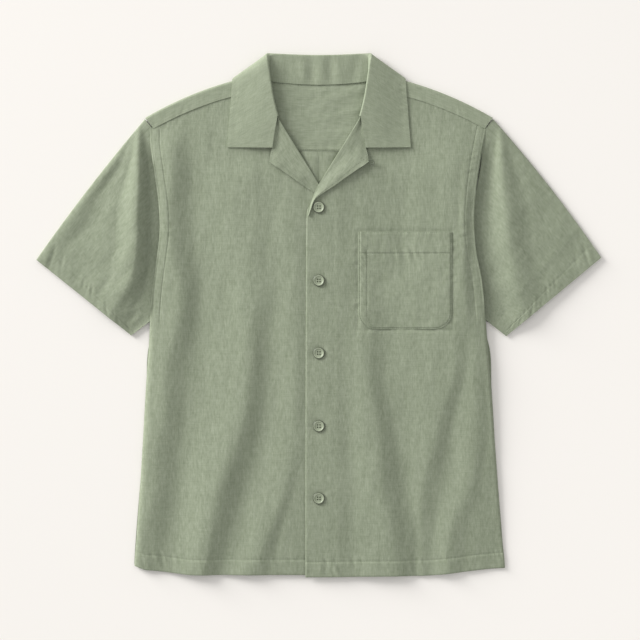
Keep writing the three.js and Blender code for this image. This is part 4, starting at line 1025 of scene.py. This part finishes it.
wide, deep = POCKET["right"] - POCKET["left"], POCKET["top"] - POCKET["bottom"]
lengthwise = np.linspace(1.5, deep - 2, 160)
# The rows beside the pocket's edges, in the dark thread, also paint the shade along those edges.
sew("pocket_stitching", [
    on_pocket(np.full(160, 1.3), lengthwise),
    on_pocket(np.full(160, wide - 1.3), lengthwise),
    on_pocket(np.linspace(2, wide - 2, 90), np.full(90, deep - 1.5)),
    on_pocket(np.linspace(2, wide - 2, 90), np.full(90, 1.0)),
    on_pocket(np.linspace(2, wide - 2, 90), np.full(90, float(POCKET_HEM))),
    on_pocket(np.full(160, float(SECOND_ROW)), np.linspace(2, deep - 2, 160)),
], pitch=2.7, length=2.5, width=0.6, lift=0)


# The buttons: five moulded four-hole buttons in the green of the cloth, with a turned-down edge, a rim and a
# dished middle. The edge is painted dark: partly the edge's own darkness, partly painted shade round the
# button. Each is sewn on through its holes, over an upright stitched buttonhole that shows past it.
def button_finish(name, dark, light):
    """The clouded stock that the buttons are moulded from, also darkened to paint the shade round their edge.
    """
    stock, nodes, surface = new_finish(name)
    place = add_node(nodes, "TexCoord").outputs["Object"]
    clouds = add_node(nodes, "TexNoise", Vector=place, Scale=260, Detail=3, Distortion=0.8).outputs["Fac"]
    wear = add_node(nodes, "MapRange", Value=clouds, To_Min=0.3, To_Max=0.5)
    colour = colour_ramp(nodes, clouds, dark, light, 0.3, 0.75)
    feed(surface, Base_Color=colour, Roughness=wear.outputs["Result"])
    return stock


button_stock = button_finish("button_stock", (0.26, 0.3, 0.205), (0.37, 0.415, 0.3))
# The edge stock is far darker than the buttons. It is painted shade round each button, along with the edge's
# own darkness.
edge_painted_shade_stock = button_finish("button_edge_painted_shade", (0.07, 0.08, 0.055), (0.11, 0.125, 0.085))
BUTTON_RADIUS, BUTTON_THICK, HOLE_OUT = 8.3, 2.6, 1.65
seats = [float(front_height(np.array(0.0), np.array(y), "left")) + 0.8 for y in BUTTON_YS]
bpy.ops.object.select_all(action="DESELECT")
bpy.ops.mesh.primitive_cylinder_add(vertices=56, radius=BUTTON_RADIUS / 1000, depth=BUTTON_THICK / 1000)
master = bpy.context.object
bpy.ops.object.mode_set(mode="EDIT")
bpy.ops.mesh.select_all(action="DESELECT")
shape = bmesh.from_edit_mesh(master.data)
for face in shape.faces:
    face.select = face.normal.z > 0.9
bmesh.update_edit_mesh(master.data)
bpy.ops.mesh.inset(thickness=0.0012, depth=0.0006)
bpy.ops.mesh.inset(thickness=0.001)
bpy.ops.mesh.inset(thickness=0.0008, depth=-0.0009)
bpy.ops.mesh.select_all(action="DESELECT")
shape = bmesh.from_edit_mesh(master.data)
for edge in shape.edges:
    ring = [math.hypot(v.co.x, v.co.y) * 1000 for v in edge.verts]
    flat = abs(edge.verts[0].co.z - edge.verts[1].co.z) < 1e-6
    edge.select = flat and min(ring) > 5.2 and abs(ring[0] - ring[1]) < 1e-3
bmesh.update_edit_mesh(master.data)
bpy.ops.mesh.bevel(offset=0.00042, segments=3, affect="EDGES")
bpy.ops.object.mode_set(mode="OBJECT")
for sx, sy in ((1, 1), (-1, 1), (-1, -1), (1, -1)):
    bpy.ops.object.select_all(action="DESELECT")
    bpy.ops.mesh.primitive_cylinder_add(vertices=16, radius=0.0011, depth=0.02,
                                        location=(sx * HOLE_OUT / 1000, sy * HOLE_OUT / 1000, 0))
    drill = bpy.context.object
    hole = master.modifiers.new("hole", "BOOLEAN")
    hole.object = drill
    hole.operation = "DIFFERENCE"
    bpy.context.view_layer.objects.active = master
    bpy.ops.object.modifier_apply(modifier="hole")
    bpy.data.objects.remove(drill)
master.data.materials.append(button_stock)
master.data.materials.append(edge_painted_shade_stock)
# The faces of the outer edge take the dark stock: painted shade round the button.
for face in master.data.polygons:
    if math.hypot(face.center.x, face.center.y) * 1000 > BUTTON_RADIUS - 1.1:
        face.material_index = 1
thread_lines = []
buttonholes = []
for k, (y, seat) in enumerate(zip(BUTTON_YS, seats)):
    button = put(f"shirt_button_{k + 1}", master.data.copy())
    button.data.transform(Matrix.Translation((-0.0002, y / 1000, (seat + BUTTON_THICK / 2) / 1000)))
    pick(button)
    bpy.ops.object.shade_smooth_by_angle(angle=math.radians(35))
    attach(button, "root")
    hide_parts(f"button_{k + 1}")
    top = seat + 0.6
    for sx in (1, -1):
        x = sx * HOLE_OUT - 0.2
        thread_lines.append([(x, y - HOLE_OUT, top - 1), (x, y - HOLE_OUT * 0.6, top + 0.1),
                             (x, y + HOLE_OUT * 0.6, top + 0.1), (x, y + HOLE_OUT, top - 1)])
    steps = np.arange(-10.5, 10.6, 0.55)
    for side_x in (-0.9, 0.9):
        x = side_x * (1 - 0.25 * np.maximum(0, abs(steps) - 9.4))
        z = front_height(x, y + steps, "left")
        for px, py, pz in zip(x, y + steps, z):
            buttonholes.append([(px - 0.75, py, pz), (px, py + 0.1, pz + 0.12), (px + 0.75, py, pz)])
bpy.data.objects.remove(master)
sew("buttonhole_stitching", buttonholes, pitch=3, length=1.1, width=0.42, lift=0.1)
sew("button_thread", thread_lines, pitch=9, length=3.2, width=0.5, lift=0.0)


# The neck loop: a short loop of thread-covered cord caught in the left lapel's point. It would go round a
# small button under the other collar leaf.
z = (float(front_height(np.array(73.0), np.array(214.0), "left")) + 5.5) / 1000
curve = bpy.data.curves.new("neck_loop_cord", "CURVE")
curve.dimensions = "3D"
curve.bevel_depth = 0.00075
curve.bevel_resolution = 3
curve.resolution_u = 8
spline = curve.splines.new("BEZIER")
loop = [(69.0, 216.6), (73.2, 217.0), (76.6, 214.4), (75.0, 211.4), (70.2, 213.4)]
spline.bezier_points.add(len(loop) - 1)
for point, (x, y) in zip(spline.bezier_points, loop):
    point.co = (x / 1000, y / 1000, z)
    point.handle_left_type = point.handle_right_type = "AUTO"
cord = put("neck_loop_cord", curve)
pick(cord)
bpy.ops.object.convert(target="MESH")
cord = bpy.context.object
cord.name = "neck_loop_cord"
cord.data.materials.clear()
cord.data.materials.append(thread)
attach(cord, "root")
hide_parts("neck_loop")
